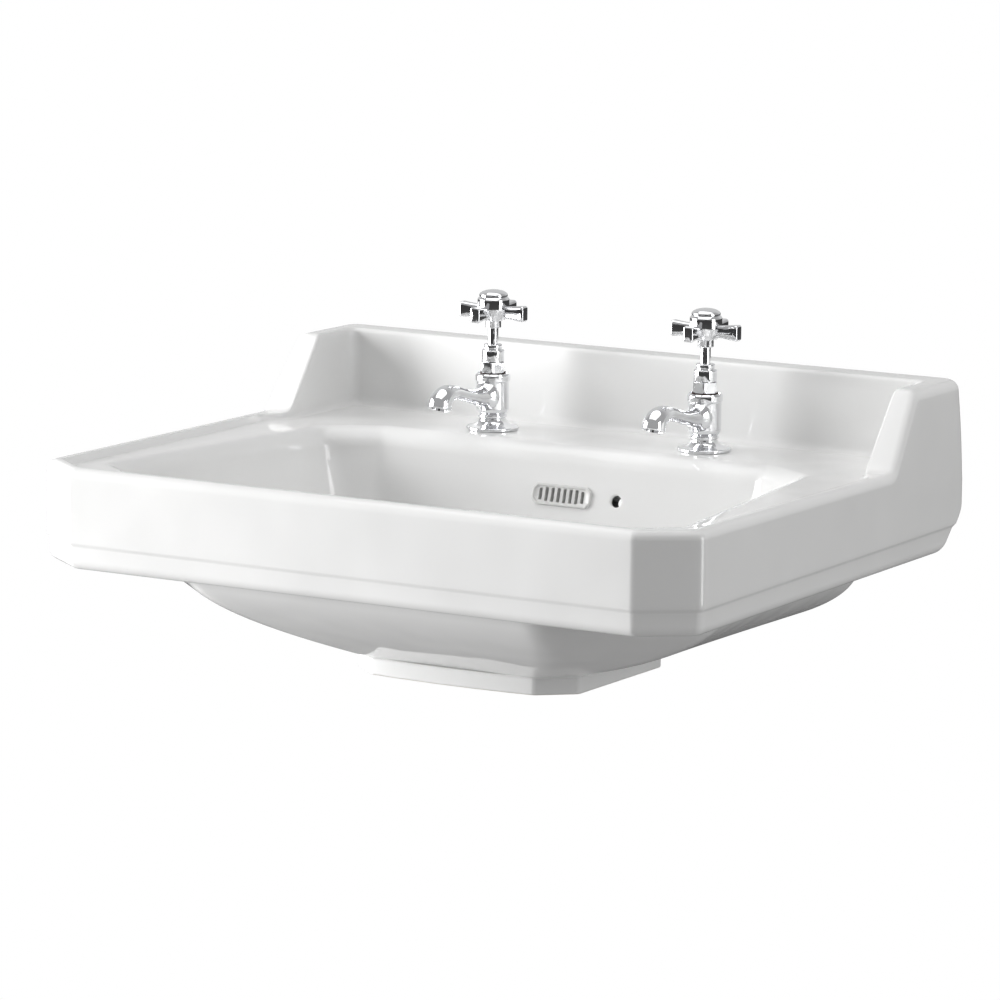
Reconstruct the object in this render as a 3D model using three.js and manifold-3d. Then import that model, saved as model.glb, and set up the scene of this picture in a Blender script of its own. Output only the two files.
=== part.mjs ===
// A ceramic washbasin with a splashback and a pedestal seat, two crosshead pillar taps and a waste.
// Millimetres, +Z up, front towards -Y. The origin is on the flat back face, at rim height, at mid width.

import * as THREE from 'three';
import { mergeVertices } from 'three/addons/utils/BufferGeometryUtils.js';
import Module from 'manifold-3d';

const wasm = await Module();
wasm.setup();

// ---- Driving dimensions: basin ----
const WIDTH = 595;
const DEPTH = 465.5;
const CHAMFER_ACROSS = 43;
const CHAMFER_BACK = 31;
const REAR_ROUND = 9;
const CORNER_SOFTNESS = 9;
const EDGE_ROUND = 8;
const RIM_WIDTH = 13;
const RIM_SLOPE = 4;
const DECK_DROP = 5;
const FASCIA_HEIGHT = 60.5;
const STEP_IN = 2;
const BAND_HEIGHT = 20.5;
const BAND_ROUND = 8.6;
const REAR_TUCK_START = -50;
const BAND_CLIMB = 4.7;

const SPLASH_HEIGHT = 60;
const SPLASH_THICKNESS = 26;
const UPSTAND_THICKNESS = 27.5;
const UPSTAND_TOP_RUN = 78;
const UPSTAND_FOOT_RUN = 124;
const UPSTAND_DRAFT = 6;
const INNER_EDGE_BREAK = 4;

const BOWL_BACK = 110;
const BOWL_FRONT_MARGIN = 25;
const BOWL_SIDE_MARGIN_FRONT = 30;
const BOWL_SIDE_MARGIN_BACK = 65;
const BOWL_BACK_CORNER = { across: 52, back: 29 };
const BOWL_FRONT_CORNER = { across: 46, back: 38 };
const BOWL_CORNER_ROUND = 16;
const BOWL_DEPTH = 123;
const BOWL_LIP_ROUND = 18;
const BOWL_BACK_WALL = { batter: 0.27, foot: 30 };
const BOWL_SIDE_WALL = { batter: 0.3, foot: 60 };
const BOWL_FRONT_WALL = { batter: 0.5, foot: 60 };

// Each size of the hull's plan goes from top to foot as 1 - share ** bend.
const HULL_FRONT = { top: 443, foot: 306, bend: 1.4 };
const HULL_FRONT_HALF = { top: 155, foot: 80, bend: 2 };
const HULL_SIDE_HALF = { top: 262, foot: 108, bend: 1.7 };
const HULL_CHAMFER_BACK = { top: 101, foot: 26, bend: 1.2 };
const HULL_REAR_HALF = { top: 206.5, foot: 115, bend: 3 };
const HULL_BOTTOM = -157;
const HULL_SOFTNESS = 30;

const FOOT_HALF_WIDTH = 103;
const FOOT_FRONT = 303;
const FOOT_REAR = 128;
const FOOT_CHAMFER = { across: 28, back: 24 };
const FOOT_BOW = 4;
const FOOT_BOTTOM = -172;

const SHELL = 11;
const DECK_THICKNESS = 12;
const BACK_THICKNESS = 12;
const ACCESS_HALF_WIDTH = 126;
const ACCESS_FRONT = 150;

const WALL_BOLT_SPACING = 280;
const WALL_BOLT_HEIGHT = -100;
const WALL_BOLT_RADIUS = 7;

const OVERFLOW_HEIGHT = -44;
const OVERFLOW_SIZE = { width: 46, height: 13.2 };
const OVERFLOW_DUCT = { width: 36, gap: 9, wall: 8 };
const CHAIN_HOLE = { offset: 50, radius: 4.7 };

// ---- Driving dimensions: overflow grille ----
const GRILLE_WIDTH = 55;
const GRILLE_HEIGHT = 17.5;
const GRILLE_CORNER = 4;
const GRILLE_PLATE = 2.2;
const GRILLE_RECESS = { margin: 2.2, depth: 0.8 };
const GRILLE_PLUG_DEPTH = 5;
const SLOT_COUNT = 8;
const SLOT_PITCH = 5.6;
const SLOT_WIDTH = 3;
const SLOT_HEIGHT = 11.6;
const END_SLOT_HEIGHT = 9.8;

// ---- Driving dimensions: waste ----
const WASTE_SETBACK = 222;
const WASTE_TUBE_RADIUS = 20.9;
const WASTE_TUBE_WALL = 3.3;
const WASTE_HOLE_CLEARANCE = 2.1;
const WASTE_FLANGE_WIDTH = 10.6;
const WASTE_FLANGE_THICKNESS = 2.2;
const WASTE_FLANGE_CLEARANCE = 2.5;
const WASTE_SEAT_SINK = 3;
const WASTE_BOSS_WALL = 14;
const WASTE_BOSS_BOTTOM = -160;
const WASTE_TAIL = 23;
const WASTE_SEAL_THICKNESS = 2.4;
const WASTE_NUT = { margin: 5.1, height: 8 };
const WASTE_SLOT = { width: 10, height: 11 };
const PLUG_MARGIN = 4.5;
const PLUG_THICKNESS = 3;
const PLUG_DOME = 2.6;
const PLUG_STEM_RADIUS = 4;
const PLUG_LIFT = 8;
const PLUG_SEAL_THICKNESS = 1.6;
const PLUG_SEAL_LIFT = 0.4;
const GUIDE_HUB_RADIUS = 7;
const GUIDE_DROP = 12;
const GUIDE_SPOKE = { width: 3.4, height: 9 };

// ---- Driving dimensions: taps, heights above the deck ----
const TAP_SPACING = 200;
const TAP_SETBACK = 78;
const TAP_HOLE_CLEARANCE = 3.6;
const FLANGE_RADIUS = 21.8;
const FLANGE_THICKNESS = 2;
const NECK_RADIUS = 10.9;
const NECK_HEIGHT = 11.5;
const BARREL_RADIUS = 13.6;
const BARREL_FOOT = 14.5;
const BEAD_PROUD = 1;
const BEAD_HEIGHT = 6;
const BODY_TOP = 47;
const TAIL_RADIUS = 10.4;
const TAIL_WALL = 3;
const TAIL_LENGTH = 55;
const BARREL_WALL = 4.2;
const SEAT_HEIGHT = 20;
const SEAT_HOLE_RADIUS = 4.6;
const SEAT_WEB = 4;
const SPOUT_REACH = 84;
const SPOUT_OUTLET_HEIGHT = 27.4;
const SPOUT_BORE_RADIUS = 3.6;
const BASE_SEAL = { width: 6.4, thickness: 1.1 };
const CLAMP_WASHER = { width: 8.6, thickness: 3 };
const TAP_NUT = { margin: 4.6, height: 8 };
const BONNET_HEX_CORNERS = 21.6;
const BONNET_HEX_TOP = 56.6;
const BONNET_HEX_TURN = 28;
const BONNET_REACH = 13;
const BONNET_NECK_WALL = 1;
const BONNET_NECK_TOP = 64;
const BONNET_WASHER = { width: 2.8, thickness: 0.9 };
const GLAND_WALL = 2.4;
const GLAND_SHOULDER = 66.2;
const GLAND_COLLAR_WALL = 3.55;
const GLAND_TOP = 71;
const PACKING_DEPTH = 4.4;
const PACKING_WIDTH = 1.95;
const STEM_RADIUS = 4.15;
const THREAD_DEPTH = 1.35;
const SPINDLE_FOOT = 24.8;
const SPINDLE_SQUARE = 6;
const SPINDLE_TOP = 101;
const SPINDLE_PITCH = 2;
const OPEN_TURNS = 1.875;
const THREAD_CLEARANCE = 3;
const JUMPER_STEM_RADIUS = 2;
const JUMPER_STEM_LENGTH = 7;
const JUMPER_PLATE = { radius: 6.6, thickness: 1.7 };
const TAP_WASHER = { radius: 6.4, thickness: 2.2 };
const WASHER_NUT = { flats: 4.8, height: 1.8 };
const STUD_RADIUS = 1.1;
const HANDLE_FOOT = 84.6;
const HANDLE_COLLAR_WALL = 2.25;
const HUB_FOOT = 91.2;
const HUB_FOOT_RADIUS = 9;
const HUB_RADIUS = 13.1;
const HUB_TOP = 110.6;
const ARM_REACH = 30.6;
const ARM_HEIGHT = { hub: 9.5, end: 13 };
const ARM_WIDTH = { hub: 6.4, end: 9 };
const ARM_MIDDLE = 98;
const SCREW_POCKET = { radius: 6.2, floor: 103.4 };
const SCREW_HEAD = { radius: 4.2, height: 3 };
const SCREW_SHANK_RADIUS = 1.7;
const SCREW_LENGTH = 10;
const CAP_RADIUS = 11.7;
const CAP_HEIGHT = 5.3;
const CAP_PLUG_DEPTH = 3;

// ---- Fits and fineness ----
const GAP = 0.25;
const RUNNING_GAP = 0.3;
const ROUND_SIDES = 20;
const SMALL_SIDES = 14;
const THROUGH = 40;
const PAST = 1;

// ---- Radii that follow from what they fit ----
const WASTE_BORE_RADIUS = WASTE_TUBE_RADIUS - WASTE_TUBE_WALL;
const WASTE_HOLE_RADIUS = WASTE_TUBE_RADIUS + WASTE_HOLE_CLEARANCE;
const WASTE_FLANGE_RADIUS = WASTE_TUBE_RADIUS + WASTE_FLANGE_WIDTH;
const WASTE_SEAT_RADIUS = WASTE_FLANGE_RADIUS + WASTE_FLANGE_CLEARANCE;
const WASTE_BOSS_RADIUS = WASTE_HOLE_RADIUS + WASTE_BOSS_WALL;
const PLUG_RADIUS = WASTE_FLANGE_RADIUS - PLUG_MARGIN;
const TAIL_BORE_RADIUS = TAIL_RADIUS - TAIL_WALL;
const TAP_HOLE_RADIUS = TAIL_RADIUS + TAP_HOLE_CLEARANCE;
const BASE_SEAL_RADIUS = TAIL_RADIUS + BASE_SEAL.width;
const CLAMP_WASHER_RADIUS = TAIL_RADIUS + CLAMP_WASHER.width;
const BEAD_RADIUS = BARREL_RADIUS + BEAD_PROUD;
const CHAMBER_RADIUS = BARREL_RADIUS - BARREL_WALL;
const BONNET_WASHER_RADIUS = CHAMBER_RADIUS + BONNET_WASHER.width;
const THREAD_RADIUS = STEM_RADIUS + THREAD_DEPTH;
const PACKING_RADIUS = STEM_RADIUS + PACKING_WIDTH;
const BONNET_NECK_RADIUS = PACKING_RADIUS + BONNET_NECK_WALL;
const GLAND_RADIUS = BONNET_NECK_RADIUS + GLAND_WALL;
const GLAND_COLLAR_RADIUS = STEM_RADIUS + GLAND_COLLAR_WALL;
const HANDLE_COLLAR_RADIUS = STEM_RADIUS + HANDLE_COLLAR_WALL;

// ---- Heights that follow ----
const DECK = -DECK_DROP;
const BAND_TOP = -FASCIA_HEIGHT;
const BAND_BOTTOM = BAND_TOP - BAND_HEIGHT;
const BOWL_FLOOR = DECK - BOWL_DEPTH;
const WASTE_SEAT = BOWL_FLOOR - WASTE_SEAT_SINK;
const WASTE_TAIL_END = WASTE_BOSS_BOTTOM - WASTE_TAIL;
const HALF_WIDTH = WIDTH / 2;
const FOUR = [0, 1, 2, 3];

// ---- Solids ----
function dropFlatTriangles(index) {
  const kept = [];
  for (let i = 0; i < index.length; i += 3) {
    const [a, b, c] = [index[i], index[i + 1], index[i + 2]];
    if (a !== b && b !== c && c !== a) kept.push(a, b, c);
  }
  return new Uint32Array(kept);
}

function solid(geometry) {
  const bare = geometry.clone();
  bare.deleteAttribute('normal');
  bare.deleteAttribute('uv');
  const merged = mergeVertices(bare, 1e-4);
  const triVerts = dropFlatTriangles(merged.index.array);
  const vertProperties = new Float32Array(merged.attributes.position.array);
  const made = new wasm.Manifold(new wasm.Mesh({ numProp: 3, vertProperties, triVerts }));
  if (made.volume() > 0) return made;
  for (let i = 0; i < triVerts.length; i += 3) triVerts.subarray(i, i + 2).reverse();
  return new wasm.Manifold(new wasm.Mesh({ numProp: 3, vertProperties, triVerts }));
}

function geometryOf(made) {
  const mesh = made.getMesh();
  const geometry = new THREE.BufferGeometry();
  geometry.setAttribute('position', new THREE.BufferAttribute(new Float32Array(mesh.vertProperties), 3));
  geometry.setIndex(new THREE.BufferAttribute(new Uint32Array(mesh.triVerts), 1));
  geometry.computeVertexNormals();
  return geometry;
}

const join = (...solids) => solids.reduce((all, one) => all.add(one));
const cut = (base, ...tools) => tools.reduce((left, tool) => left.subtract(tool), base);

// Rings of equal length are joined in order and closed at both ends by a fan.
function loft(rings) {
  const count = rings[0].length;
  const positions = rings.flat(2);
  const index = [];
  for (let k = 0; k + 1 < rings.length; k += 1) {
    for (let i = 0; i < count; i += 1) {
      const [a, b] = [k * count + i, k * count + (i + 1) % count];
      index.push(a, b, b + count, a, b + count, a + count);
    }
  }
  for (const [ring, start] of [[rings[0], 0], [rings.at(-1), (rings.length - 1) * count]]) {
    const middle = positions.length / 3;
    for (const axis of [0, 1, 2]) positions.push(ring.reduce((sum, p) => sum + p[axis], 0) / count);
    for (let i = 0; i < count; i += 1) {
      const [a, b] = [start + i, start + (i + 1) % count];
      index.push(...(start === 0 ? [middle, b, a] : [middle, a, b]));
    }
  }
  const geometry = new THREE.BufferGeometry();
  geometry.setAttribute('position', new THREE.Float32BufferAttribute(positions, 3));
  geometry.setIndex(index);
  return solid(geometry);
}

// A profile of [radius, height] pairs turned about the Z axis. It starts and ends on the axis or closes.
function turned(profile, sides = ROUND_SIDES) {
  const points = profile.map(([radius, height]) => new THREE.Vector2(radius, height));
  return solid(new THREE.LatheGeometry(points, sides).rotateX(Math.PI / 2));
}

function rod(radius, low, high, sides = ROUND_SIDES) {
  return turned([[0, low], [radius, low], [radius, high], [0, high]], sides);
}

// A hole whose flats, not its corners, lie at the radius, so that a round piece passes.
const bore = (radius, low, high, sides = ROUND_SIDES) => rod(radius / Math.cos(Math.PI / sides), low, high, sides);

function tube(inner, outer, low, high, sides = ROUND_SIDES) {
  const hole = inner / Math.cos(Math.PI / sides);
  return turned([[hole, low], [outer, low], [outer, high], [hole, high], [hole, low]], sides);
}

function box(xRange, yRange, zRange) {
  const spans = [xRange, yRange, zRange];
  const sizes = spans.map(([low, high]) => high - low);
  const middles = spans.map(([low, high]) => (low + high) / 2);
  return solid(new THREE.BoxGeometry(...sizes).translate(...middles));
}

// An outline in the YZ plane, given a width along X.
function sideways(outline, halfWidth) {
  const shape = new THREE.Shape(outline.map(([y, z]) => new THREE.Vector2(y, z)));
  const geometry = new THREE.ExtrudeGeometry(shape, { depth: halfWidth * 2, bevelEnabled: false });
  geometry.translate(0, 0, -halfWidth);
  const turn = new THREE.Matrix4().makeBasis(
    new THREE.Vector3(0, 1, 0), new THREE.Vector3(0, 0, 1), new THREE.Vector3(1, 0, 0));
  return solid(geometry.applyMatrix4(turn));
}

function hexagon(flats, low, high) {
  const corner = flats / Math.sqrt(3);
  return turned([[0, low], [corner, low], [corner, high], [0, high]], 6);
}

// ---- Outlines seen from above, counter-clockwise ----
const corner = (x, y, round) => ({ x, y, round });
const mirrored = (left) => [...left, ...left.map((c) => corner(-c.x, c.y, c.round)).reverse()];

function insetCorners(corners, distances) {
  const count = corners.length;
  const lines = corners.map((a, i) => {
    const b = corners[(i + 1) % count];
    const length = Math.hypot(b.x - a.x, b.y - a.y);
    const [dx, dy] = [(b.x - a.x) / length, (b.y - a.y) / length];
    return { x: a.x - dy * distances[i], y: a.y + dx * distances[i], dx, dy };
  });
  return corners.map((c, i) => {
    const [one, two] = [lines[(i + count - 1) % count], lines[i]];
    const cross = one.dx * two.dy - one.dy * two.dx;
    const along = ((two.x - one.x) * two.dy - (two.y - one.y) * two.dx) / cross;
    return corner(one.x + one.dx * along, one.y + one.dy * along, c.round);
  });
}

// A ring of points at one height, with each corner rounded by an arc.
function ring(corners, z, steps = 2) {
  const count = corners.length;
  return corners.flatMap((c, i) => {
    const before = corners[(i + count - 1) % count];
    const after = corners[(i + 1) % count];
    const inLength = Math.hypot(c.x - before.x, c.y - before.y);
    const outLength = Math.hypot(after.x - c.x, after.y - c.y);
    const [ux, uy] = [(c.x - before.x) / inLength, (c.y - before.y) / inLength];
    const turn = Math.atan2(ux * (after.y - c.y) - uy * (after.x - c.x),
      ux * (after.x - c.x) + uy * (after.y - c.y));
    const half = Math.tan(turn / 2);
    const radius = Math.min(c.round, 0.45 * Math.min(inLength, outLength) / half);
    const [cx, cy] = [c.x - ux * radius * half - uy * radius, c.y - uy * radius * half + ux * radius];
    return Array.from({ length: steps + 1 }, (_, k) => {
      const angle = Math.atan2(uy, ux) - Math.PI / 2 + turn * k / steps;
      return [cx + radius * Math.cos(angle), cy + radius * Math.sin(angle), z];
    });
  });
}

// ---- Basin: outside ----
// Below its start, the rear of the fascia and band slants forward at 45 degrees.
const rearTuck = (z) => Math.max(0, REAR_TUCK_START - z);

function slabCorners(inset, z = 0) {
  const outline = mirrored([
    corner(-HALF_WIDTH, -rearTuck(z), REAR_ROUND),
    corner(-HALF_WIDTH, CHAMFER_BACK - DEPTH, CORNER_SOFTNESS),
    corner(CHAMFER_ACROSS - HALF_WIDTH, -DEPTH, CORNER_SOFTNESS),
  ]);
  return insetCorners(outline, [inset, inset, inset, inset, inset, 0]);
}

const quarter = (steps) => Array.from({ length: steps + 1 }, (_, k) => k / steps * Math.PI / 2);

// The step and the band climb a little from the front corners to the wall.
function climb([x, y, z]) {
  const share = Math.min(1, (DEPTH - CHAMFER_BACK + y) / (DEPTH - CHAMFER_BACK));
  return [x, y, z + BAND_CLIMB * Math.max(0, share)];
}

function slab() {
  const flat = (inset, z) => ring(slabCorners(inset, z), z);
  const level = (inset, z) => flat(inset, z).map(climb);
  const band = quarter(3).map((a) => level(
    STEP_IN + BAND_ROUND * (1 - Math.sin(a)), BAND_BOTTOM + BAND_ROUND * (1 - Math.cos(a))));
  const edge = quarter(3).map((a) => flat(EDGE_ROUND * (1 - Math.cos(a)), -EDGE_ROUND * (1 - Math.sin(a))));
  return loft([
    ...band,
    level(STEP_IN, BAND_TOP - STEP_IN / 2),
    level(0, BAND_TOP + STEP_IN / 2),
    flat(0, REAR_TUCK_START),
    ...edge,
  ]);
}

function hullCorners(share) {
  const at = ({ top, foot: low, bend }) => low + (top - low) * (1 - share ** bend);
  const front = at(HULL_FRONT);
  return mirrored([
    corner(-at(HULL_REAR_HALF), 0, 0),
    corner(-at(HULL_SIDE_HALF), at(HULL_CHAMFER_BACK) - front, HULL_SOFTNESS),
    corner(-at(HULL_FRONT_HALF), -front, HULL_SOFTNESS),
  ]);
}

const HULL_STEPS = 6;
const hullShares = Array.from({ length: HULL_STEPS + 1 }, (_, k) => Math.sin(k / HULL_STEPS * Math.PI / 2));

function hull() {
  const drop = HULL_BOTTOM - BAND_BOTTOM;
  const rings = hullShares.map((share) => ring(hullCorners(share), BAND_BOTTOM + drop * share));
  return loft([ring(hullCorners(0), REAR_TUCK_START), ...rings].reverse());
}

function footCorners(inset) {
  const outline = mirrored([
    corner(-FOOT_HALF_WIDTH, -FOOT_REAR, 2),
    corner(-FOOT_HALF_WIDTH, FOOT_CHAMFER.back - FOOT_FRONT, CORNER_SOFTNESS),
    corner(FOOT_CHAMFER.across - FOOT_HALF_WIDTH, -FOOT_FRONT, CORNER_SOFTNESS),
    corner(-FOOT_HALF_WIDTH / 4, -FOOT_FRONT - FOOT_BOW, 60),
  ]);
  return insetCorners(outline, [inset, inset, inset, inset, inset, inset, inset, 0]);
}

function foot(inset, low, high) {
  return loft([ring(footCorners(inset), low), ring(footCorners(inset), high)]);
}

function splashCorners(height, inset) {
  const lean = UPSTAND_DRAFT * height / SPLASH_HEIGHT + inset;
  const run = UPSTAND_FOOT_RUN + (UPSTAND_TOP_RUN - UPSTAND_FOOT_RUN) * height / SPLASH_HEIGHT - inset;
  return mirrored([corner(lean - HALF_WIDTH, 0, REAR_ROUND), corner(lean - HALF_WIDTH, -run, EDGE_ROUND)]);
}

function splashback() {
  const foot = ring(splashCorners(0, 0), -EDGE_ROUND);
  const crown = quarter(3).map((a) => {
    const height = SPLASH_HEIGHT - EDGE_ROUND * (1 - Math.sin(a));
    return ring(splashCorners(height, EDGE_ROUND * (1 - Math.cos(a))), height);
  });
  return loft([foot, ring(splashCorners(0, 0), 0), ...crown]);
}

// The space in front of the splashback and between the upstands, down to the deck.
function splashPocket() {
  const inner = HALF_WIDTH - UPSTAND_THICKNESS;
  const outline = mirrored([
    corner(-inner, -SPLASH_THICKNESS, REAR_ROUND),
    corner(-inner, -UPSTAND_FOOT_RUN - RIM_WIDTH, 1),
  ]);
  const flare = insetCorners(outline, [-INNER_EDGE_BREAK, 0, -INNER_EDGE_BREAK, -INNER_EDGE_BREAK]);
  return loft([
    ring(outline, DECK),
    ring(outline, SPLASH_HEIGHT - INNER_EDGE_BREAK),
    ring(flare, SPLASH_HEIGHT),
    ring(flare, SPLASH_HEIGHT + THROUGH),
  ]);
}

// The flat, slightly sunk top inside the raised rim.
function deckPocket() {
  const back = -UPSTAND_FOOT_RUN + EDGE_ROUND;
  const at = (inset, z) => {
    const outline = slabCorners(inset).map((c) => corner(c.x, Math.min(c.y, back), c.round));
    return ring(outline, z);
  };
  return loft([at(RIM_WIDTH + RIM_SLOPE, DECK), at(RIM_WIDTH, 0), at(RIM_WIDTH, EDGE_ROUND)]);
}

// ---- Basin: bowl ----
function bowlWallInset(depth, wall) {
  const lip = Math.min(depth, BOWL_LIP_ROUND);
  const rolled = Math.sqrt(BOWL_LIP_ROUND ** 2 - (BOWL_LIP_ROUND - lip) ** 2);
  const straight = Math.max(0, depth - BOWL_LIP_ROUND) * wall.batter;
  const curl = Math.max(0, depth - (BOWL_DEPTH - wall.foot));
  return rolled + straight + wall.foot - Math.sqrt(wall.foot ** 2 - curl ** 2);
}

function bowlCorners(depth, grow = 0) {
  const frontHalf = HALF_WIDTH - BOWL_SIDE_MARGIN_FRONT;
  const backHalf = HALF_WIDTH - BOWL_SIDE_MARGIN_BACK;
  const front = DEPTH - BOWL_FRONT_MARGIN;
  const outline = mirrored([
    corner(BOWL_BACK_CORNER.across - backHalf, -BOWL_BACK, BOWL_CORNER_ROUND),
    corner(-backHalf, -BOWL_BACK - BOWL_BACK_CORNER.back, BOWL_CORNER_ROUND),
    corner(-frontHalf, BOWL_FRONT_CORNER.back - front, BOWL_CORNER_ROUND),
    corner(BOWL_FRONT_CORNER.across - frontHalf, -front, BOWL_CORNER_ROUND),
  ]);
  const [back, side, ahead] = [BOWL_BACK_WALL, BOWL_SIDE_WALL, BOWL_FRONT_WALL]
    .map((wall) => bowlWallInset(depth, wall) - grow);
  const [rearCorner, frontCorner] = [(back + side) / 2, (side + ahead) / 2];
  return insetCorners(outline, [rearCorner, side, frontCorner, ahead, frontCorner, side, rearCorner, back]);
}

// As many points as the bowl's rings have, evenly spaced round the waste from the rear.
function wasteRing(radius, z, count) {
  return Array.from({ length: count }, (_, i) => {
    const angle = Math.PI / 2 + (2 * i + 1) * Math.PI / count;
    return [radius * Math.cos(angle), radius * Math.sin(angle) - WASTE_SETBACK, z];
  });
}

// The bowl's inner surface, pushed out by a wall thickness when one is given.
function bowl(grow = 0) {
  const lipDepths = quarter(3).map((a) => BOWL_LIP_ROUND * (1 - Math.cos(a)));
  const bend = BOWL_SIDE_WALL.foot;
  const bendDepths = [0, 0.35, 0.62, 0.82].map((share) => BOWL_DEPTH - bend * (1 - share));
  const walls = [...lipDepths, ...bendDepths]
    .map((depth) => ring(bowlCorners(depth, grow), DECK - depth - grow));
  const last = walls.at(-1);
  const seat = wasteRing(WASTE_SEAT_RADIUS + grow, BOWL_FLOOR - grow, last.length);
  const floor = [0.34, 0.67].map((share) => {
    const drop = 1 - (1 - share) ** 2;
    return last.map((p, i) => [
      p[0] + (seat[i][0] - p[0]) * share,
      p[1] + (seat[i][1] - p[1]) * share,
      p[2] + (seat[i][2] - p[2]) * drop,
    ]);
  });
  const above = ring(bowlCorners(0, grow), grow ? DECK : THROUGH);
  return loft([above, ...walls, ...floor, seat].reverse());
}

// ---- Basin: hollow underside ----
function underHollow() {
  const inner = (corners, rear) => insetCorners(corners, [SHELL, SHELL, SHELL, SHELL, SHELL, rear]);
  const drop = HULL_BOTTOM - BAND_BOTTOM;
  const rings = hullShares.slice(0, -1).map((share) => ring(
    inner(hullCorners(share), BACK_THICKNESS), BAND_BOTTOM + drop * share + SHELL));
  const level = (inset, z) => ring(inner(slabCorners(inset, z), BACK_THICKNESS * Math.SQRT2), z);
  const slabSpace = loft([
    level(STEP_IN + BAND_ROUND, BAND_BOTTOM + SHELL),
    level(STEP_IN, REAR_TUCK_START),
    level(STEP_IN, DECK - DECK_THICKNESS),
  ]);
  const access = box([-ACCESS_HALF_WIDTH, ACCESS_HALF_WIDTH], [-ACCESS_FRONT, -BACK_THICKNESS],
    [FOOT_BOTTOM - THROUGH, DECK - DECK_THICKNESS]);
  const footSpace = foot(SHELL, FOOT_BOTTOM - THROUGH, HULL_BOTTOM + 2 * SHELL);
  return cut(join(slabSpace, loft(rings.reverse()), access, footSpace), bowl(SHELL), ductShell(), wasteBoss());
}

// The back wall of the bowl at mid width, as [y, z], pushed out by a distance.
function backWallPoint(depth, out) {
  const slope = Math.atan(BOWL_BACK_WALL.batter);
  const curl = Math.max(0, depth - (BOWL_DEPTH - BOWL_BACK_WALL.foot));
  const tilt = slope + Math.asin(curl / BOWL_BACK_WALL.foot) * 0.8;
  const y = -BOWL_BACK - bowlWallInset(depth, BOWL_BACK_WALL);
  return [y + out * Math.cos(tilt), DECK - depth - out * Math.sin(tilt)];
}

const DUCT_DEPTHS = [-OVERFLOW_HEIGHT + DECK - OVERFLOW_SIZE.height, 60, BOWL_DEPTH - BOWL_BACK_WALL.foot,
  BOWL_DEPTH - BOWL_BACK_WALL.foot * 0.4];

function ductOutline(near, far, low, high) {
  const nearSide = DUCT_DEPTHS.map((depth) => backWallPoint(depth, near));
  const farSide = DUCT_DEPTHS.map((depth) => backWallPoint(depth, far)).reverse();
  return [...nearSide, [-WASTE_SETBACK, high], [-WASTE_SETBACK, low], ...farSide];
}

function ductShell() {
  const { width, gap, wall } = OVERFLOW_DUCT;
  const outline = ductOutline(0, SHELL + gap + wall, WASTE_BOSS_BOTTOM, BOWL_FLOOR);
  const lid = backWallPoint(DUCT_DEPTHS[0], 0);
  const cap = box([-width / 2 - wall, width / 2 + wall], [lid[0], lid[0] + SHELL + gap + wall],
    [lid[1] - wall - gap, lid[1] + wall]);
  return join(sideways(outline, width / 2 + wall), cap);
}

function ductBore() {
  const { width, gap, wall } = OVERFLOW_DUCT;
  const ceiling = BOWL_FLOOR - SHELL - 1;
  const outline = ductOutline(SHELL, SHELL + gap, WASTE_BOSS_BOTTOM + wall, ceiling);
  return sideways(outline, width / 2);
}

function wasteBoss() {
  return rod(WASTE_BOSS_RADIUS, WASTE_BOSS_BOTTOM, BOWL_FLOOR).translate([0, -WASTE_SETBACK, 0]);
}

// The plane of the bowl's back wall at the overflow: its middle and its lean from upright.
const OVERFLOW_PLACE = backWallPoint(DECK - OVERFLOW_HEIGHT, 0);
const OVERFLOW_LEAN = Math.atan(BOWL_BACK_WALL.batter);

// Puts something modelled flat, facing +Z with +Y up, on the bowl's back wall.
function ontoBackWall(made, across = 0) {
  const lean = 90 - THREE.MathUtils.radToDeg(OVERFLOW_LEAN);
  return made.rotate([lean, 0, 0]).translate([across, OVERFLOW_PLACE[0], OVERFLOW_PLACE[1]]);
}

function basinHoles() {
  const tapHoles = [-1, 1].map((side) => rod(TAP_HOLE_RADIUS, DECK - THROUGH, DECK + THROUGH / 2)
    .translate([side * TAP_SPACING / 2, -TAP_SETBACK, 0]));
  const wallHoles = [-1, 1].map((side) => rod(WALL_BOLT_RADIUS, -THROUGH / 2, THROUGH / 2, SMALL_SIDES)
    .rotate([90, 0, 0]).translate([side * WALL_BOLT_SPACING / 2, 0, WALL_BOLT_HEIGHT]));
  const chainHole = ontoBackWall(rod(CHAIN_HOLE.radius, -2 * SHELL, SHELL, SMALL_SIDES), CHAIN_HOLE.offset);
  const { width, height } = OVERFLOW_SIZE;
  const reach = SHELL + OVERFLOW_DUCT.gap / 2;
  const narrow = Math.min(width, OVERFLOW_DUCT.width) / 2;
  const throat = ontoBackWall(box([-narrow, narrow], [-height / 2, height / 2], [-reach, 0]));
  const shallow = ontoBackWall(box([-width / 2, width / 2], [-height / 2, height / 2],
    [-GRILLE_PLUG_DEPTH - PAST, SHELL]));
  const wasteHole = turned([
    [0, WASTE_BOSS_BOTTOM - THROUGH], [WASTE_HOLE_RADIUS, WASTE_BOSS_BOTTOM - THROUGH],
    [WASTE_HOLE_RADIUS, WASTE_SEAT], [WASTE_SEAT_RADIUS - 1, WASTE_SEAT],
    [WASTE_SEAT_RADIUS, BOWL_FLOOR + 0.5], [0, BOWL_FLOOR + 0.5],
  ]).translate([0, -WASTE_SETBACK, 0]);
  return [...tapHoles, ...wallHoles, chainHole, throat, shallow, wasteHole];
}

function basin() {
  const outside = join(cut(join(slab(), splashback()), splashPocket(), deckPocket()), hull(),
    foot(0, FOOT_BOTTOM, HULL_BOTTOM + SHELL));
  return cut(outside, underHollow(), bowl(), ductBore(), ...basinHoles());
}

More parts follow.
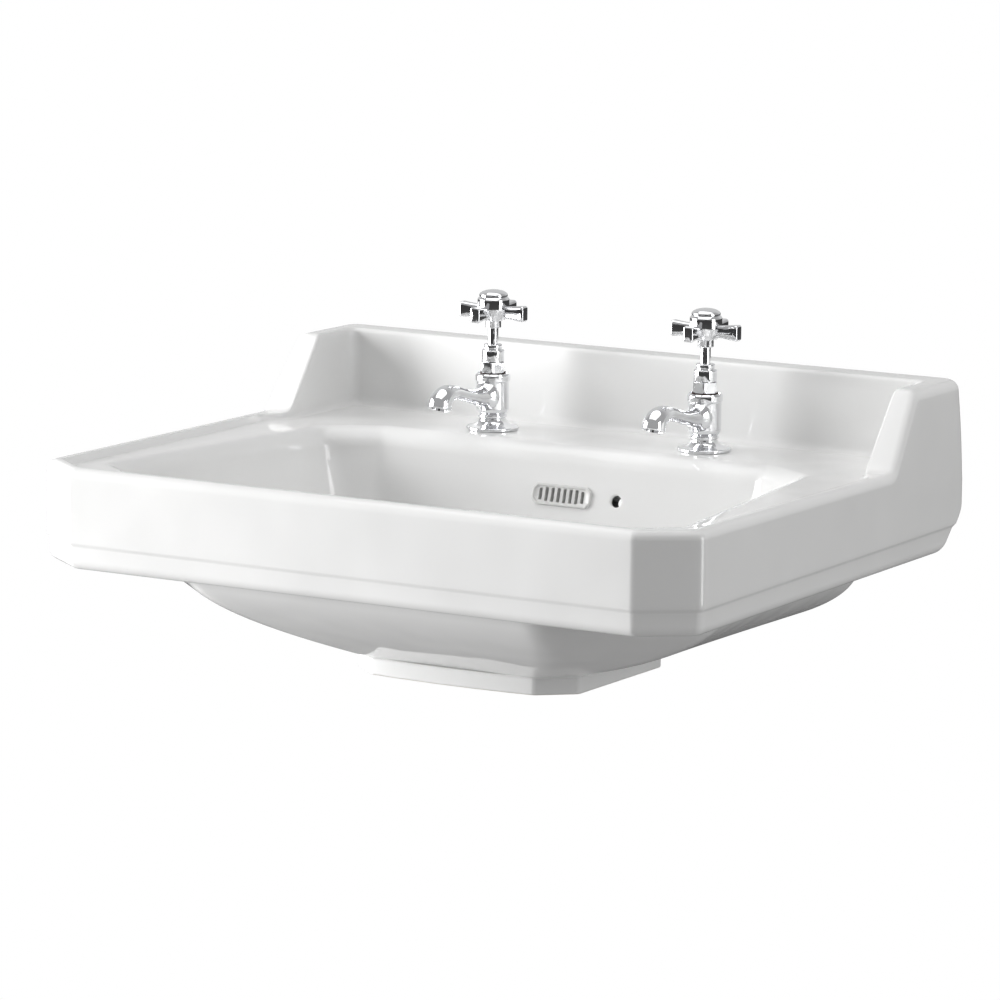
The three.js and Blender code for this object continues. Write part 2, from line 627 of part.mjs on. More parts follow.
// ---- Overflow grille ----
function grilleOutline(width, height, corner) {
  const [x, y] = [width / 2, height / 2];
  const shape = new THREE.Shape([
    [-x + corner, -y], [x - corner, -y], [x, -y + corner], [x, y - corner],
    [x - corner, y], [-x + corner, y], [-x, y - corner], [-x, -y + corner],
  ].map(([a, b]) => new THREE.Vector2(a, b)));
  return shape;
}

function plate(shape, low, high) {
  return solid(new THREE.ExtrudeGeometry(shape, { depth: high - low, bevelEnabled: false }).translate(0, 0, low));
}

function overflowGrille() {
  const { margin, depth } = GRILLE_RECESS;
  const face = plate(grilleOutline(GRILLE_WIDTH, GRILLE_HEIGHT, GRILLE_CORNER), GAP, GRILLE_PLATE);
  const recess = plate(grilleOutline(GRILLE_WIDTH - 2 * margin, GRILLE_HEIGHT - 2 * margin, GRILLE_CORNER - 1),
    GRILLE_PLATE - depth, GRILLE_PLATE + PAST);
  const plug = box([-OVERFLOW_SIZE.width / 2 + GAP, OVERFLOW_SIZE.width / 2 - GAP],
    [-OVERFLOW_SIZE.height / 2 + GAP, OVERFLOW_SIZE.height / 2 - GAP], [-GRILLE_PLUG_DEPTH, GAP + 0.5]);
  const slots = Array.from({ length: SLOT_COUNT }, (_, i) => {
    const x = (i - (SLOT_COUNT - 1) / 2) * SLOT_PITCH;
    const tall = i === 0 || i === SLOT_COUNT - 1 ? END_SLOT_HEIGHT : SLOT_HEIGHT;
    return box([x - SLOT_WIDTH / 2, x + SLOT_WIDTH / 2], [-tall / 2, tall / 2],
      [-GRILLE_PLUG_DEPTH - PAST, GRILLE_PLATE + PAST]);
  });
  return ontoBackWall(cut(join(face, plug), recess, ...slots));
}

// ---- Waste ----
const atWaste = (made) => made.translate([0, -WASTE_SETBACK, 0]);
const FLANGE_UNDERSIDE = WASTE_SEAT + GAP + WASTE_SEAL_THICKNESS + GAP;
const FLANGE_TOP = FLANGE_UNDERSIDE + WASTE_FLANGE_THICKNESS;
const GUIDE_TOP = FLANGE_UNDERSIDE - GUIDE_DROP;
const GUIDE_BOTTOM = GUIDE_TOP - GUIDE_SPOKE.height;
const NUT_TOP = WASTE_BOSS_BOTTOM - GAP - WASTE_SEAL_THICKNESS - GAP;

function wasteBody() {
  const shell = turned([
    [WASTE_BORE_RADIUS, WASTE_TAIL_END], [WASTE_TUBE_RADIUS, WASTE_TAIL_END],
    [WASTE_TUBE_RADIUS, FLANGE_UNDERSIDE], [WASTE_FLANGE_RADIUS, FLANGE_UNDERSIDE],
    [WASTE_FLANGE_RADIUS, FLANGE_TOP - 1], [WASTE_FLANGE_RADIUS - 2, FLANGE_TOP],
    [PLUG_RADIUS - 4, FLANGE_TOP - 0.6], [WASTE_BORE_RADIUS, FLANGE_UNDERSIDE - 2],
    [WASTE_BORE_RADIUS, WASTE_TAIL_END],
  ]);
  const slots = FOUR.map((k) => box([-WASTE_SLOT.width / 2, WASTE_SLOT.width / 2],
    [WASTE_BORE_RADIUS - WASTE_TUBE_WALL, WASTE_TUBE_RADIUS + WASTE_TUBE_WALL],
    [GUIDE_BOTTOM - WASTE_SLOT.height, GUIDE_BOTTOM]).rotate([0, 0, 90 * k]));
  const spokes = FOUR.map((k) => box([-GUIDE_SPOKE.width / 2, GUIDE_SPOKE.width / 2],
    [PLUG_STEM_RADIUS + RUNNING_GAP + 1, WASTE_BORE_RADIUS + PAST], [GUIDE_BOTTOM, GUIDE_TOP])
    .rotate([0, 0, 90 * k + 45]));
  const hub = tube(PLUG_STEM_RADIUS + RUNNING_GAP, GUIDE_HUB_RADIUS, GUIDE_BOTTOM, GUIDE_TOP, SMALL_SIDES);
  return atWaste(cut(join(shell, hub, ...spokes), ...slots));
}

const wasteTopSeal = () => atWaste(tube(WASTE_TUBE_RADIUS + GAP, WASTE_FLANGE_RADIUS - 1,
  WASTE_SEAT + GAP, WASTE_SEAT + GAP + WASTE_SEAL_THICKNESS));

const wasteLowerSeal = () => atWaste(tube(WASTE_TUBE_RADIUS + GAP, WASTE_BOSS_RADIUS - 6,
  NUT_TOP + GAP, WASTE_BOSS_BOTTOM - GAP));

function wasteNut() {
  const blank = hexagon(2 * (WASTE_TUBE_RADIUS + WASTE_NUT.margin), NUT_TOP - WASTE_NUT.height, NUT_TOP);
  const hole = bore(WASTE_TUBE_RADIUS + GAP, NUT_TOP - WASTE_NUT.height - PAST, NUT_TOP + PAST);
  return atWaste(cut(blank, hole));
}

// Heights of the shut plug: its rubber ring rests in the flange's dished mouth.
const PLUG_SEAL_LOW = FLANGE_TOP + PLUG_SEAL_LIFT;
const PLUG_UNDERSIDE = PLUG_SEAL_LOW + PLUG_SEAL_THICKNESS + GAP;
const PLUG_TOP = PLUG_UNDERSIDE + PLUG_THICKNESS + PLUG_DOME;
const STEM_FOOT = GUIDE_BOTTOM - PLUG_LIFT - 1.2;

function plugCap() {
  const dome = quarter(3).map((a) => [
    (PLUG_RADIUS - 1) * Math.cos(a), PLUG_UNDERSIDE + PLUG_THICKNESS + PLUG_DOME * Math.sin(a)]);
  const disc = turned([[0, PLUG_UNDERSIDE], [PLUG_RADIUS - 0.6, PLUG_UNDERSIDE],
    [PLUG_RADIUS, PLUG_UNDERSIDE + 1], [PLUG_RADIUS, PLUG_UNDERSIDE + PLUG_THICKNESS - 0.6], ...dome]);
  const socket = rod(PLUG_STEM_RADIUS + GAP, PLUG_UNDERSIDE - PAST, PLUG_UNDERSIDE + PLUG_THICKNESS, SMALL_SIDES);
  return atWaste(cut(disc, socket));
}

const plugSeal = () => atWaste(tube(WASTE_BORE_RADIUS + 1, PLUG_RADIUS - 1.4,
  PLUG_SEAL_LOW, PLUG_UNDERSIDE - GAP));

function plugStem() {
  return atWaste(turned([
    [0, STEM_FOOT - 3], [GUIDE_HUB_RADIUS - 1, STEM_FOOT - 3], [GUIDE_HUB_RADIUS - 1, STEM_FOOT],
    [PLUG_STEM_RADIUS, STEM_FOOT], [PLUG_STEM_RADIUS, PLUG_UNDERSIDE + PLUG_THICKNESS - GAP],
    [0, PLUG_UNDERSIDE + PLUG_THICKNESS - GAP],
  ], SMALL_SIDES));
}

// ---- Taps: fixed pieces ----
function spoutStations(scale) {
  const path = new THREE.CatmullRomCurve3([
    [4, 28.5], [20, 28.8], [34, 31], [48, 34.6], [62, 37.6], [74, 37.4], [SPOUT_REACH - 2, 33],
    [SPOUT_REACH, SPOUT_OUTLET_HEIGHT],
  ].map(([forward, height]) => new THREE.Vector3(0, -forward, height)));
  const swell = new THREE.CatmullRomCurve3([
    [8.4, 8.6], [7.6, 7.6], [5.8, 6.6], [5.6, 6.2], [6.6, 6.8], [8, 8.4], [9.2, 9.4], [9.7, 9.7],
  ].map(([tall, wide]) => new THREE.Vector3(tall, wide, 0)));
  const sides = 10;
  const steps = 9;
  return Array.from({ length: steps + 1 }, (_, k) => {
    const middle = path.getPoint(k / steps);
    const along = path.getTangent(k / steps);
    const up = new THREE.Vector3(1, 0, 0).cross(along);
    const size = swell.getPoint(k / steps);
    return Array.from({ length: sides }, (_ignored, i) => {
      const angle = i / sides * Math.PI * 2;
      const place = middle.clone().addScaledVector(up, scale(size.x) * Math.sin(angle));
      place.x += scale(size.y) * Math.cos(angle);
      return place.toArray();
    });
  });
}

const SPOUT_WALL = 2.2;
const spout = () => loft(spoutStations((size) => size));
function spoutBore() {
  const rings = spoutStations((size) => Math.max(size - SPOUT_WALL, SPOUT_BORE_RADIUS));
  const below = rings.at(-1).map(([x, y, z]) => [x, y, z - 2]);
  return loft([...rings, below]);
}

const SEAL_POCKET = GAP + BASE_SEAL.thickness + GAP;
const WASHER_POCKET = BODY_TOP - BONNET_WASHER.thickness - 2 * GAP;

function tapBody() {
  const flare = quarter(3).map((a) => [
    NECK_RADIUS + (FLANGE_RADIUS - 1.5 - NECK_RADIUS) * (1 - Math.sin(a)),
    GAP + FLANGE_THICKNESS + (NECK_HEIGHT - FLANGE_THICKNESS - 3) * (1 - Math.cos(a)),
  ]);
  const beadFoot = BODY_TOP - BEAD_HEIGHT;
  const outside = [
    [TAIL_RADIUS, -TAIL_LENGTH], [TAIL_RADIUS, SEAL_POCKET],
    [BASE_SEAL_RADIUS + GAP, SEAL_POCKET], [BASE_SEAL_RADIUS + GAP, GAP],
    [FLANGE_RADIUS - 0.5, GAP], [FLANGE_RADIUS, GAP + 0.6], [FLANGE_RADIUS - 0.4, GAP + FLANGE_THICKNESS - 0.4],
    ...flare, [NECK_RADIUS, NECK_HEIGHT - 2], [NECK_RADIUS + 1, NECK_HEIGHT - 1], [NECK_RADIUS + 1, NECK_HEIGHT],
    [NECK_RADIUS + 0.2, NECK_HEIGHT + 0.8], [BARREL_RADIUS - 0.8, BARREL_FOOT], [BARREL_RADIUS, BARREL_FOOT + 2],
    [BARREL_RADIUS, beadFoot - 1], [BEAD_RADIUS - 0.6, beadFoot], [BEAD_RADIUS, beadFoot + 2],
    [BEAD_RADIUS, beadFoot + 4], [BEAD_RADIUS - 1.2, BODY_TOP],
  ];
  const inside = [
    [BONNET_WASHER_RADIUS + GAP, BODY_TOP], [BONNET_WASHER_RADIUS + GAP, WASHER_POCKET],
    [CHAMBER_RADIUS, WASHER_POCKET], [CHAMBER_RADIUS, SEAT_HEIGHT - 2], [SEAT_HOLE_RADIUS + 2, SEAT_HEIGHT - 2],
    [SEAT_HOLE_RADIUS + 1.4, SEAT_HEIGHT], [SEAT_HOLE_RADIUS, SEAT_HEIGHT],
    [SEAT_HOLE_RADIUS, SEAT_HEIGHT - SEAT_WEB], [TAIL_BORE_RADIUS, SEAT_HEIGHT - SEAT_WEB - 2],
    [TAIL_BORE_RADIUS, -TAIL_LENGTH], [TAIL_RADIUS, -TAIL_LENGTH],
  ];
  const shell = turned([...outside, ...inside]);
  const chamber = rod(CHAMBER_RADIUS, SEAT_HEIGHT - 2, WASHER_POCKET);
  const water = rod(TAIL_BORE_RADIUS, -TAIL_LENGTH, SEAT_HEIGHT - SEAT_WEB - 2);
  const pipe = cut(spout(), chamber, water, spoutBore());
  return cut(join(shell, pipe), cut(spoutBore(), rod(CHAMBER_RADIUS - 1, 0, SEAT_HEIGHT)));
}

const baseSeal = () => tube(TAIL_RADIUS + GAP, BASE_SEAL_RADIUS, GAP, GAP + BASE_SEAL.thickness, SMALL_SIDES);

const CLAMP_TOP = -DECK_THICKNESS - GAP;
const clampWasher = () => tube(TAIL_RADIUS + GAP, CLAMP_WASHER_RADIUS,
  CLAMP_TOP - CLAMP_WASHER.thickness, CLAMP_TOP, SMALL_SIDES);

function tapNut() {
  const top = CLAMP_TOP - CLAMP_WASHER.thickness - GAP;
  const hole = bore(TAIL_RADIUS + GAP, top - TAP_NUT.height - PAST, top + PAST);
  return cut(hexagon(2 * (TAIL_RADIUS + TAP_NUT.margin), top - TAP_NUT.height, top), hole);
}

function bonnet() {
  const hexFoot = BODY_TOP + GAP;
  const flats = BONNET_HEX_CORNERS * Math.sqrt(3) / 2;
  const thread = rod(CHAMBER_RADIUS - GAP, BODY_TOP - BONNET_REACH, hexFoot + 1, SMALL_SIDES);
  const neck = rod(BONNET_NECK_RADIUS, BONNET_HEX_TOP - 1, BONNET_NECK_TOP, SMALL_SIDES);
  const packingFloor = BONNET_NECK_TOP - PACKING_DEPTH;
  const hole = turned([
    [0, 0], [THREAD_RADIUS + RUNNING_GAP, 0], [THREAD_RADIUS + RUNNING_GAP, packingFloor - 2],
    [STEM_RADIUS + RUNNING_GAP, packingFloor - 1], [STEM_RADIUS + RUNNING_GAP, packingFloor],
    [PACKING_RADIUS, packingFloor], [PACKING_RADIUS, BONNET_NECK_TOP + PAST], [0, BONNET_NECK_TOP + PAST],
  ], SMALL_SIDES);
  return cut(join(hexagon(flats, hexFoot, BONNET_HEX_TOP).rotate([0, 0, BONNET_HEX_TURN]), thread, neck), hole);
}

const bonnetWasher = () => tube(CHAMBER_RADIUS + GAP, BONNET_WASHER_RADIUS,
  WASHER_POCKET + GAP, WASHER_POCKET + GAP + BONNET_WASHER.thickness, SMALL_SIDES);

function glandNut() {
  const foot = BONNET_HEX_TOP + GAP;
  const web = BONNET_NECK_TOP + GAP;
  return turned([
    [BONNET_NECK_RADIUS + GAP, foot], [GLAND_RADIUS - 0.5, foot], [GLAND_RADIUS, foot + 0.6],
    [GLAND_RADIUS, GLAND_SHOULDER - 0.8], [GLAND_RADIUS - 0.8, GLAND_SHOULDER],
    [GLAND_COLLAR_RADIUS - 0.8, GLAND_SHOULDER + 0.4], [GLAND_COLLAR_RADIUS, GLAND_SHOULDER + 1.4],
    [GLAND_COLLAR_RADIUS, GLAND_TOP - 0.6], [GLAND_COLLAR_RADIUS - 0.8, GLAND_TOP],
    [STEM_RADIUS + RUNNING_GAP, GLAND_TOP], [STEM_RADIUS + RUNNING_GAP, web],
    [BONNET_NECK_RADIUS + GAP, web], [BONNET_NECK_RADIUS + GAP, foot],
  ]);
}

const glandPacking = () => tube(STEM_RADIUS + RUNNING_GAP, PACKING_RADIUS - GAP,
  BONNET_NECK_TOP - PACKING_DEPTH + GAP, BONNET_NECK_TOP - GAP, SMALL_SIDES);

// ---- Taps: pieces that rise with the spindle but do not turn ----
const PLATE_TOP = SPINDLE_FOOT - RUNNING_GAP;
const PLATE_FOOT = PLATE_TOP - JUMPER_PLATE.thickness;
const TAP_WASHER_TOP = PLATE_FOOT - GAP;
const WASHER_NUT_TOP = TAP_WASHER_TOP - TAP_WASHER.thickness - GAP;

function jumper() {
  const stud = WASHER_NUT_TOP - WASHER_NUT.height - 0.3;
  return turned([
    [0, stud], [STUD_RADIUS, stud], [STUD_RADIUS, PLATE_FOOT], [JUMPER_PLATE.radius, PLATE_FOOT],
    [JUMPER_PLATE.radius, PLATE_TOP], [JUMPER_STEM_RADIUS, PLATE_TOP],
    [JUMPER_STEM_RADIUS, PLATE_TOP + JUMPER_STEM_LENGTH], [0, PLATE_TOP + JUMPER_STEM_LENGTH],
  ], SMALL_SIDES);
}

const tapWasher = () => tube(STUD_RADIUS + GAP, TAP_WASHER.radius,
  TAP_WASHER_TOP - TAP_WASHER.thickness, TAP_WASHER_TOP, SMALL_SIDES);

function washerNut() {
  const low = WASHER_NUT_TOP - WASHER_NUT.height;
  const hole = bore(STUD_RADIUS + GAP, low - PAST, WASHER_NUT_TOP + PAST, SMALL_SIDES);
  return cut(hexagon(WASHER_NUT.flats, low, WASHER_NUT_TOP), hole);
}

// ---- Taps: pieces that turn ----
const SQUARE_FOOT = HANDLE_FOOT + 4;
const THREAD_TOP = BONNET_NECK_TOP - PACKING_DEPTH - THREAD_CLEARANCE - OPEN_TURNS * SPINDLE_PITCH;

function spindle() {
  const shaft = turned([
    [0, SPINDLE_FOOT], [THREAD_RADIUS, SPINDLE_FOOT], [THREAD_RADIUS, THREAD_TOP],
    [STEM_RADIUS, THREAD_TOP + 1], [STEM_RADIUS, SQUARE_FOOT], [0, SQUARE_FOOT],
  ], SMALL_SIDES);
  const half = SPINDLE_SQUARE / 2;
  const square = box([-half, half], [-half, half], [SQUARE_FOOT - 1, SPINDLE_TOP]);
  const socket = rod(JUMPER_STEM_RADIUS + RUNNING_GAP, SPINDLE_FOOT - PAST,
    PLATE_TOP + JUMPER_STEM_LENGTH + PAST, SMALL_SIDES);
  const tapped = rod(SCREW_SHANK_RADIUS + GAP, SCREW_POCKET.floor - SCREW_LENGTH - PAST, SPINDLE_TOP + PAST, 12);
  return cut(join(shaft, square), socket, tapped);
}

function handleArm() {
  const stations = [0, 0.4, 0.75, 0.94, 1];
  const inner = HUB_FOOT_RADIUS - 3;
  return loft(stations.map((share) => {
    const tip = share === 1 ? 1.6 : 0;
    const flare = share ** 1.6;
    const tall = (ARM_HEIGHT.hub + (ARM_HEIGHT.end - ARM_HEIGHT.hub) * flare) / 2 - tip;
    const wide = (ARM_WIDTH.hub + (ARM_WIDTH.end - ARM_WIDTH.hub) * flare) / 2 - tip;
    const outline = mirrored([corner(-wide, tall, 2.4 - tip), corner(-wide, -tall, 2.4 - tip)]);
    const reach = inner + (ARM_REACH - inner) * share;
    return ring(outline, 0, 1).map(([a, b]) => [reach, a, ARM_MIDDLE + b]);
  }));
}

function handle() {
  const hub = turned([
    [0, HANDLE_FOOT], [HANDLE_COLLAR_RADIUS - 0.6, HANDLE_FOOT], [HANDLE_COLLAR_RADIUS, HANDLE_FOOT + 0.6],
    [HANDLE_COLLAR_RADIUS, HUB_FOOT], [HUB_FOOT_RADIUS, HUB_FOOT], [HUB_FOOT_RADIUS + 1.6, HUB_FOOT + 3],
    [HUB_RADIUS, HUB_FOOT + 9], [HUB_RADIUS, HUB_TOP - 3], [HUB_RADIUS - 0.9, HUB_TOP - 0.9],
    [HUB_RADIUS - 2.4, HUB_TOP], [0, HUB_TOP],
  ]);
  const arms = FOUR.map((k) => handleArm().rotate([0, 0, 90 * k]));
  const half = SPINDLE_SQUARE / 2 + GAP;
  const square = box([-half, half], [-half, half], [SQUARE_FOOT - GAP, SPINDLE_TOP + GAP]);
  const stemHole = rod(STEM_RADIUS + GAP, HANDLE_FOOT - PAST, SQUARE_FOOT + GAP, SMALL_SIDES);
  const screwHole = rod(SCREW_SHANK_RADIUS + GAP, SPINDLE_TOP, HUB_TOP, 12);
  const pocket = rod(SCREW_POCKET.radius, SCREW_POCKET.floor, HUB_TOP + PAST, SMALL_SIDES);
  return cut(join(hub, ...arms), square, stemHole, screwHole, pocket);
}

function handleScrew() {
  const seat = SCREW_POCKET.floor + GAP;
  const blank = turned([
    [0, SCREW_POCKET.floor - SCREW_LENGTH], [SCREW_SHANK_RADIUS, SCREW_POCKET.floor - SCREW_LENGTH],
    [SCREW_SHANK_RADIUS, seat], [SCREW_HEAD.radius, seat], [SCREW_HEAD.radius, seat + SCREW_HEAD.height * 0.7],
    [SCREW_HEAD.radius * 0.6, seat + SCREW_HEAD.height], [0, seat + SCREW_HEAD.height],
  ], SMALL_SIDES);
  const slot = box([-SCREW_HEAD.radius, SCREW_HEAD.radius], [-0.5, 0.5],
    [seat + SCREW_HEAD.height * 0.6, seat + SCREW_HEAD.height + PAST]);
  return cut(blank, slot);
}

function indexCap() {
  const base = HUB_TOP + GAP;
  const dome = quarter(4).map((a) => [CAP_RADIUS * Math.cos(a), base + 0.8 + (CAP_HEIGHT - 0.8) * Math.sin(a)]);
  return turned([
    [0, base - CAP_PLUG_DEPTH], [SCREW_POCKET.radius - GAP, base - CAP_PLUG_DEPTH],
    [SCREW_POCKET.radius - GAP, base], [CAP_RADIUS, base], ...dome,
  ]);
}

// ---- Finishes ----
const finish = (color, roughness, metalness) => ({ color, roughness, metalness });
const FINISHES = {
  china: finish(0xf3f3f2, 0.08, 0),
  plastic: finish(0xededea, 0.3, 0),
  nylon: finish(0xd8d6cc, 0.5, 0),
  chrome: finish(0xdadcdf, 0.06, 1),
  brass: finish(0xb99a55, 0.3, 1),
  rubber: finish(0x23231f, 0.8, 0),
  fibre: finish(0x8a2f24, 0.8, 0),
  packing: finish(0xc9c4b4, 0.9, 0),
};

// ---- Assembly ----
const sink = new THREE.Group();

function add(name, made, look, into = sink) {
  const mesh = new THREE.Mesh(geometryOf(made), new THREE.MeshStandardMaterial(FINISHES[look]));
  mesh.name = name;
  into.add(mesh);
}

function addTap(side, x) {
  const tap = new THREE.Group();
  tap.position.set(x, -TAP_SETBACK, DECK);
  const put = (name, made, look) => add(`${side}_${name}`, made, look, tap);
  put('tap_body', tapBody(), 'chrome');
  put('base_seal', baseSeal(), 'rubber');
  put('clamp_washer', clampWasher(), 'nylon');
  put('backnut', tapNut(), 'brass');
  put('bonnet', bonnet(), 'chrome');
  put('bonnet_washer', bonnetWasher(), 'fibre');
  put('gland_nut', glandNut(), 'chrome');
  put('gland_packing', glandPacking(), 'packing');
  put('jumper', jumper(), 'brass');
  put('tap_washer', tapWasher(), 'rubber');
  put('washer_nut', washerNut(), 'brass');
  put('spindle', spindle(), 'chrome');
  put('crosshead', handle(), 'chrome');
  put('crosshead_screw', handleScrew(), 'brass');
  put('index_cap', indexCap(), 'chrome');
  sink.add(tap);
}

add('basin', basin(), 'china');
add('overflow_grille', overflowGrille(), 'plastic');
add('waste_body', wasteBody(), 'chrome');
add('waste_top_seal', wasteTopSeal(), 'rubber');
add('waste_lower_seal', wasteLowerSeal(), 'rubber');
add('waste_backnut', wasteNut(), 'brass');
add('plug_cap', plugCap(), 'chrome');
add('plug_seal', plugSeal(), 'rubber');
add('plug_stem', plugStem(), 'brass');
addTap('hot', -TAP_SPACING / 2);
addTap('cold', TAP_SPACING / 2);

export default sink;
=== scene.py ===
import math

import bmesh
import bpy
from mathutils import Matrix, Vector


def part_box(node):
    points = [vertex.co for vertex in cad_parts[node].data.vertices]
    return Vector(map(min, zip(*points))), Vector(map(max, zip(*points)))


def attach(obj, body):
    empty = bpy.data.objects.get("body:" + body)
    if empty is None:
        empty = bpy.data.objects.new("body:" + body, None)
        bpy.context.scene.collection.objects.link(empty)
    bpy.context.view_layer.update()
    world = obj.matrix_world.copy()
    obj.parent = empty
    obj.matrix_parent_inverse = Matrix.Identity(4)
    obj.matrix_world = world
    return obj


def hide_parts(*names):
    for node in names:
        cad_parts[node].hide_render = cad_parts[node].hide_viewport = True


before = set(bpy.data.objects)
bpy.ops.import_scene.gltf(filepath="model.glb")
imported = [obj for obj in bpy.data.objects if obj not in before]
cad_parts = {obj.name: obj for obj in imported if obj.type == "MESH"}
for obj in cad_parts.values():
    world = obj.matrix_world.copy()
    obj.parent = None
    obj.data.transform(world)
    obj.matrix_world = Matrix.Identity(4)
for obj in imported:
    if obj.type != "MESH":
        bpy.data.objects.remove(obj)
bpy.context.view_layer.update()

bl_info = {
    "name": "Pedestal Basin",
    "version": (1, 0, 0),
    "blender": (4, 5, 0),
    "location": "View3D > Sidebar > Basin",
    "description": "A glazed china basin with crosshead pillar taps and a waste, built round its frame",
    "category": "Add Mesh",
}

MM = 0.001
QUARTER = math.pi / 2


# ---- Places read from the frame, in millimetres ----
def node_box(node):
    low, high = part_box(node)
    return [value / MM for value in low], [value / MM for value in high]


def node_middle(node):
    low, high = node_box(node)
    return [(a + b) / 2 for a, b in zip(low, high)]


BASIN_LOW, BASIN_HIGH = node_box("basin")
HALF_WIDTH = BASIN_HIGH[0]
DEPTH = -BASIN_LOW[1]
SPLASH_HEIGHT = BASIN_HIGH[2]
FOOT_BOTTOM = BASIN_LOW[2]
DECK = node_box("hot_base_seal")[0][2] - 0.25
TAP_X = node_middle("cold_gland_nut")[0]
TAP_Y = node_middle("cold_gland_nut")[1]
WASTE_Y = node_middle("waste_backnut")[1]


# ---- Selecting and starting pieces ----
def fresh():
    if bpy.context.object and bpy.context.object.mode != "OBJECT":
        bpy.ops.object.mode_set(mode="OBJECT")
    bpy.ops.object.select_all(action="DESELECT")


def pick(*pieces):
    fresh()
    for piece in pieces:
        piece.select_set(True)
    bpy.context.view_layer.objects.active = pieces[0]


def named(piece, name):
    piece.name = name
    piece.data.name = name
    return piece


def edit_all(piece):
    pick(piece)
    bpy.ops.object.mode_set(mode="EDIT")
    bpy.ops.mesh.select_all(action="SELECT")


def tidy_faces(piece, doubles=0.002 * MM):
    edit_all(piece)
    bpy.ops.mesh.remove_doubles(threshold=doubles)
    bpy.ops.mesh.normals_make_consistent(inside=False)
    fresh()
    return piece


def smooth(piece, degrees=35):
    pick(piece)
    bpy.ops.object.shade_smooth_by_angle(angle=math.radians(degrees))
    return piece


# ---- Rings: a circle is laid on the first outline, then extruded from outline to outline ----
def ring_piece(name, rings, capped=True):
    fresh()
    fill = "NGON" if capped else "NOTHING"
    bpy.ops.mesh.primitive_circle_add(vertices=len(rings[0]), radius=MM, fill_type=fill)
    piece = named(bpy.context.object, name)
    for vertex, point in zip(piece.data.vertices, rings[0]):
        vertex.co = [value * MM for value in point]
    bpy.ops.object.mode_set(mode="EDIT")
    bpy.ops.mesh.select_mode(type="EDGE")
    bpy.ops.mesh.select_all(action="SELECT")
    for points in rings[1:]:
        bpy.ops.mesh.extrude_edges_move()
        mesh = bmesh.from_edit_mesh(piece.data)
        last = [vertex for vertex in mesh.verts if vertex.select]
        for vertex, point in zip(last, points):
            vertex.co = [value * MM for value in point]
        bmesh.update_edit_mesh(piece.data)
    if capped:
        bpy.ops.mesh.edge_face_add()
    bpy.ops.mesh.select_mode(type="VERT")
    return tidy_faces(piece)


def turned(name, profile, place=(0, 0, 0), sides=64):
    """Turns (radius, height) points round an upright axis. Ends lie on the axis or meet."""
    around = [2 * math.pi * (k + 0.5) / sides for k in range(sides)]
    x, y, z = place
    rings = [[[x + r * math.cos(a), y + r * math.sin(a), z + h] for a in around] for r, h in profile]
    return ring_piece(name, rings, capped=False)


def cut(piece, tools, operation="DIFFERENCE", keep=False):
    for tool in tools:
        pick(piece)
        modifier = piece.modifiers.new("cut", "BOOLEAN")
        modifier.operation = operation
        modifier.solver = "MANIFOLD"
        modifier.object = tool
        bpy.ops.object.modifier_apply(modifier=modifier.name)
        if not keep:
            bpy.data.objects.remove(tool)
    return piece


# ---- Outlines seen from above: the left half, rear to front, is mirrored to the right ----
BACK_POINTS = 22
CHAMFER_POINTS = 5
FRONT_POINTS = 18
ARC_STEPS = 8
SLOPE_SPAN = (-60.0, -156.0)
STATIONS = (7, 34, 26)
SIDE_POINTS = sum(STATIONS) - 1


def spread(start, end, count):
    """The points strictly between two points, evenly spaced."""
    return [[a + (b - a) * k / (count + 1) for a, b in zip(start, end)] for k in range(1, count + 1)]


def station_points(start, end):
    """Side points whose places along Y are the same on every outline of the rim and walls."""
    marks = (start[1], *SLOPE_SPAN, end[1])
    places = []
    for low, high, count in zip(marks, marks[1:], STATIONS):
        places += [low + (high - low) * k / count for k in range(1, count + 1)]
    places.pop()
    lean = (end[0] - start[0]) / (end[1] - start[1])
    return [[start[0] + (y - start[1]) * lean, y] for y in places]


def corner_lines(before, corner, after):
    into = Vector((corner[0] - before[0], corner[1] - before[1]))
    out = Vector((after[0] - corner[0], after[1] - corner[1]))
    return into, out, math.atan2(into.x * out.y - into.y * out.x, into.dot(out))


def fillet(before, corner, after, steps):
    """The points of a corner's rounding. The corner is (x, y, radius)."""
    into, out, turn = corner_lines(before, corner, after)
    half = math.tan(abs(turn) / 2)
    side = math.copysign(1, turn)
    radius = min(corner[2], 0.4999 * min(into.length, out.length) / half)
    along = into.normalized()
    middle = Vector(corner[:2]) - along * radius * half + Vector((-along.y, along.x)) * radius * side
    start = math.atan2(along.y, along.x) - QUARTER * side
    angles = [start + turn * k / steps for k in range(steps + 1)]
    return [[middle.x + radius * math.cos(a), middle.y + radius * math.sin(a)] for a in angles]


def paired(corners):
    """Splits the rear corner's rounding into two arcs, so that every outline has four corners a side."""
    rear, after = corners[0], corners[1]
    into, out, turn = corner_lines((0, rear[1]), rear, after)
    reach = rear[2] * (math.tan(turn / 2) - math.tan(turn / 4))
    first = Vector(rear[:2]) - into.normalized() * reach
    second = Vector(rear[:2]) + out.normalized() * reach
    return [(*first, rear[2]), (*second, rear[2]), *corners[1:]]


def inset(corners, distances):
    """Moves the lines between half an outline's corners inwards, each by its own distance."""
    path = [(0, corners[0][1]), *[corner[:2] for corner in corners], (0, corners[-1][1])]
    lines = []
    for start, end, distance in zip(path, path[1:], distances):
        along = (Vector(end) - Vector(start)).normalized()
        lines.append((Vector(start) + Vector((-along.y, along.x)) * distance, along))
    moved = []
    for (one, along), (two, ahead), corner in zip(lines, lines[1:], corners):
        reach = (two - one).cross(ahead) / along.cross(ahead)
        moved.append((*(one + along * reach), corner[2]))
    return moved


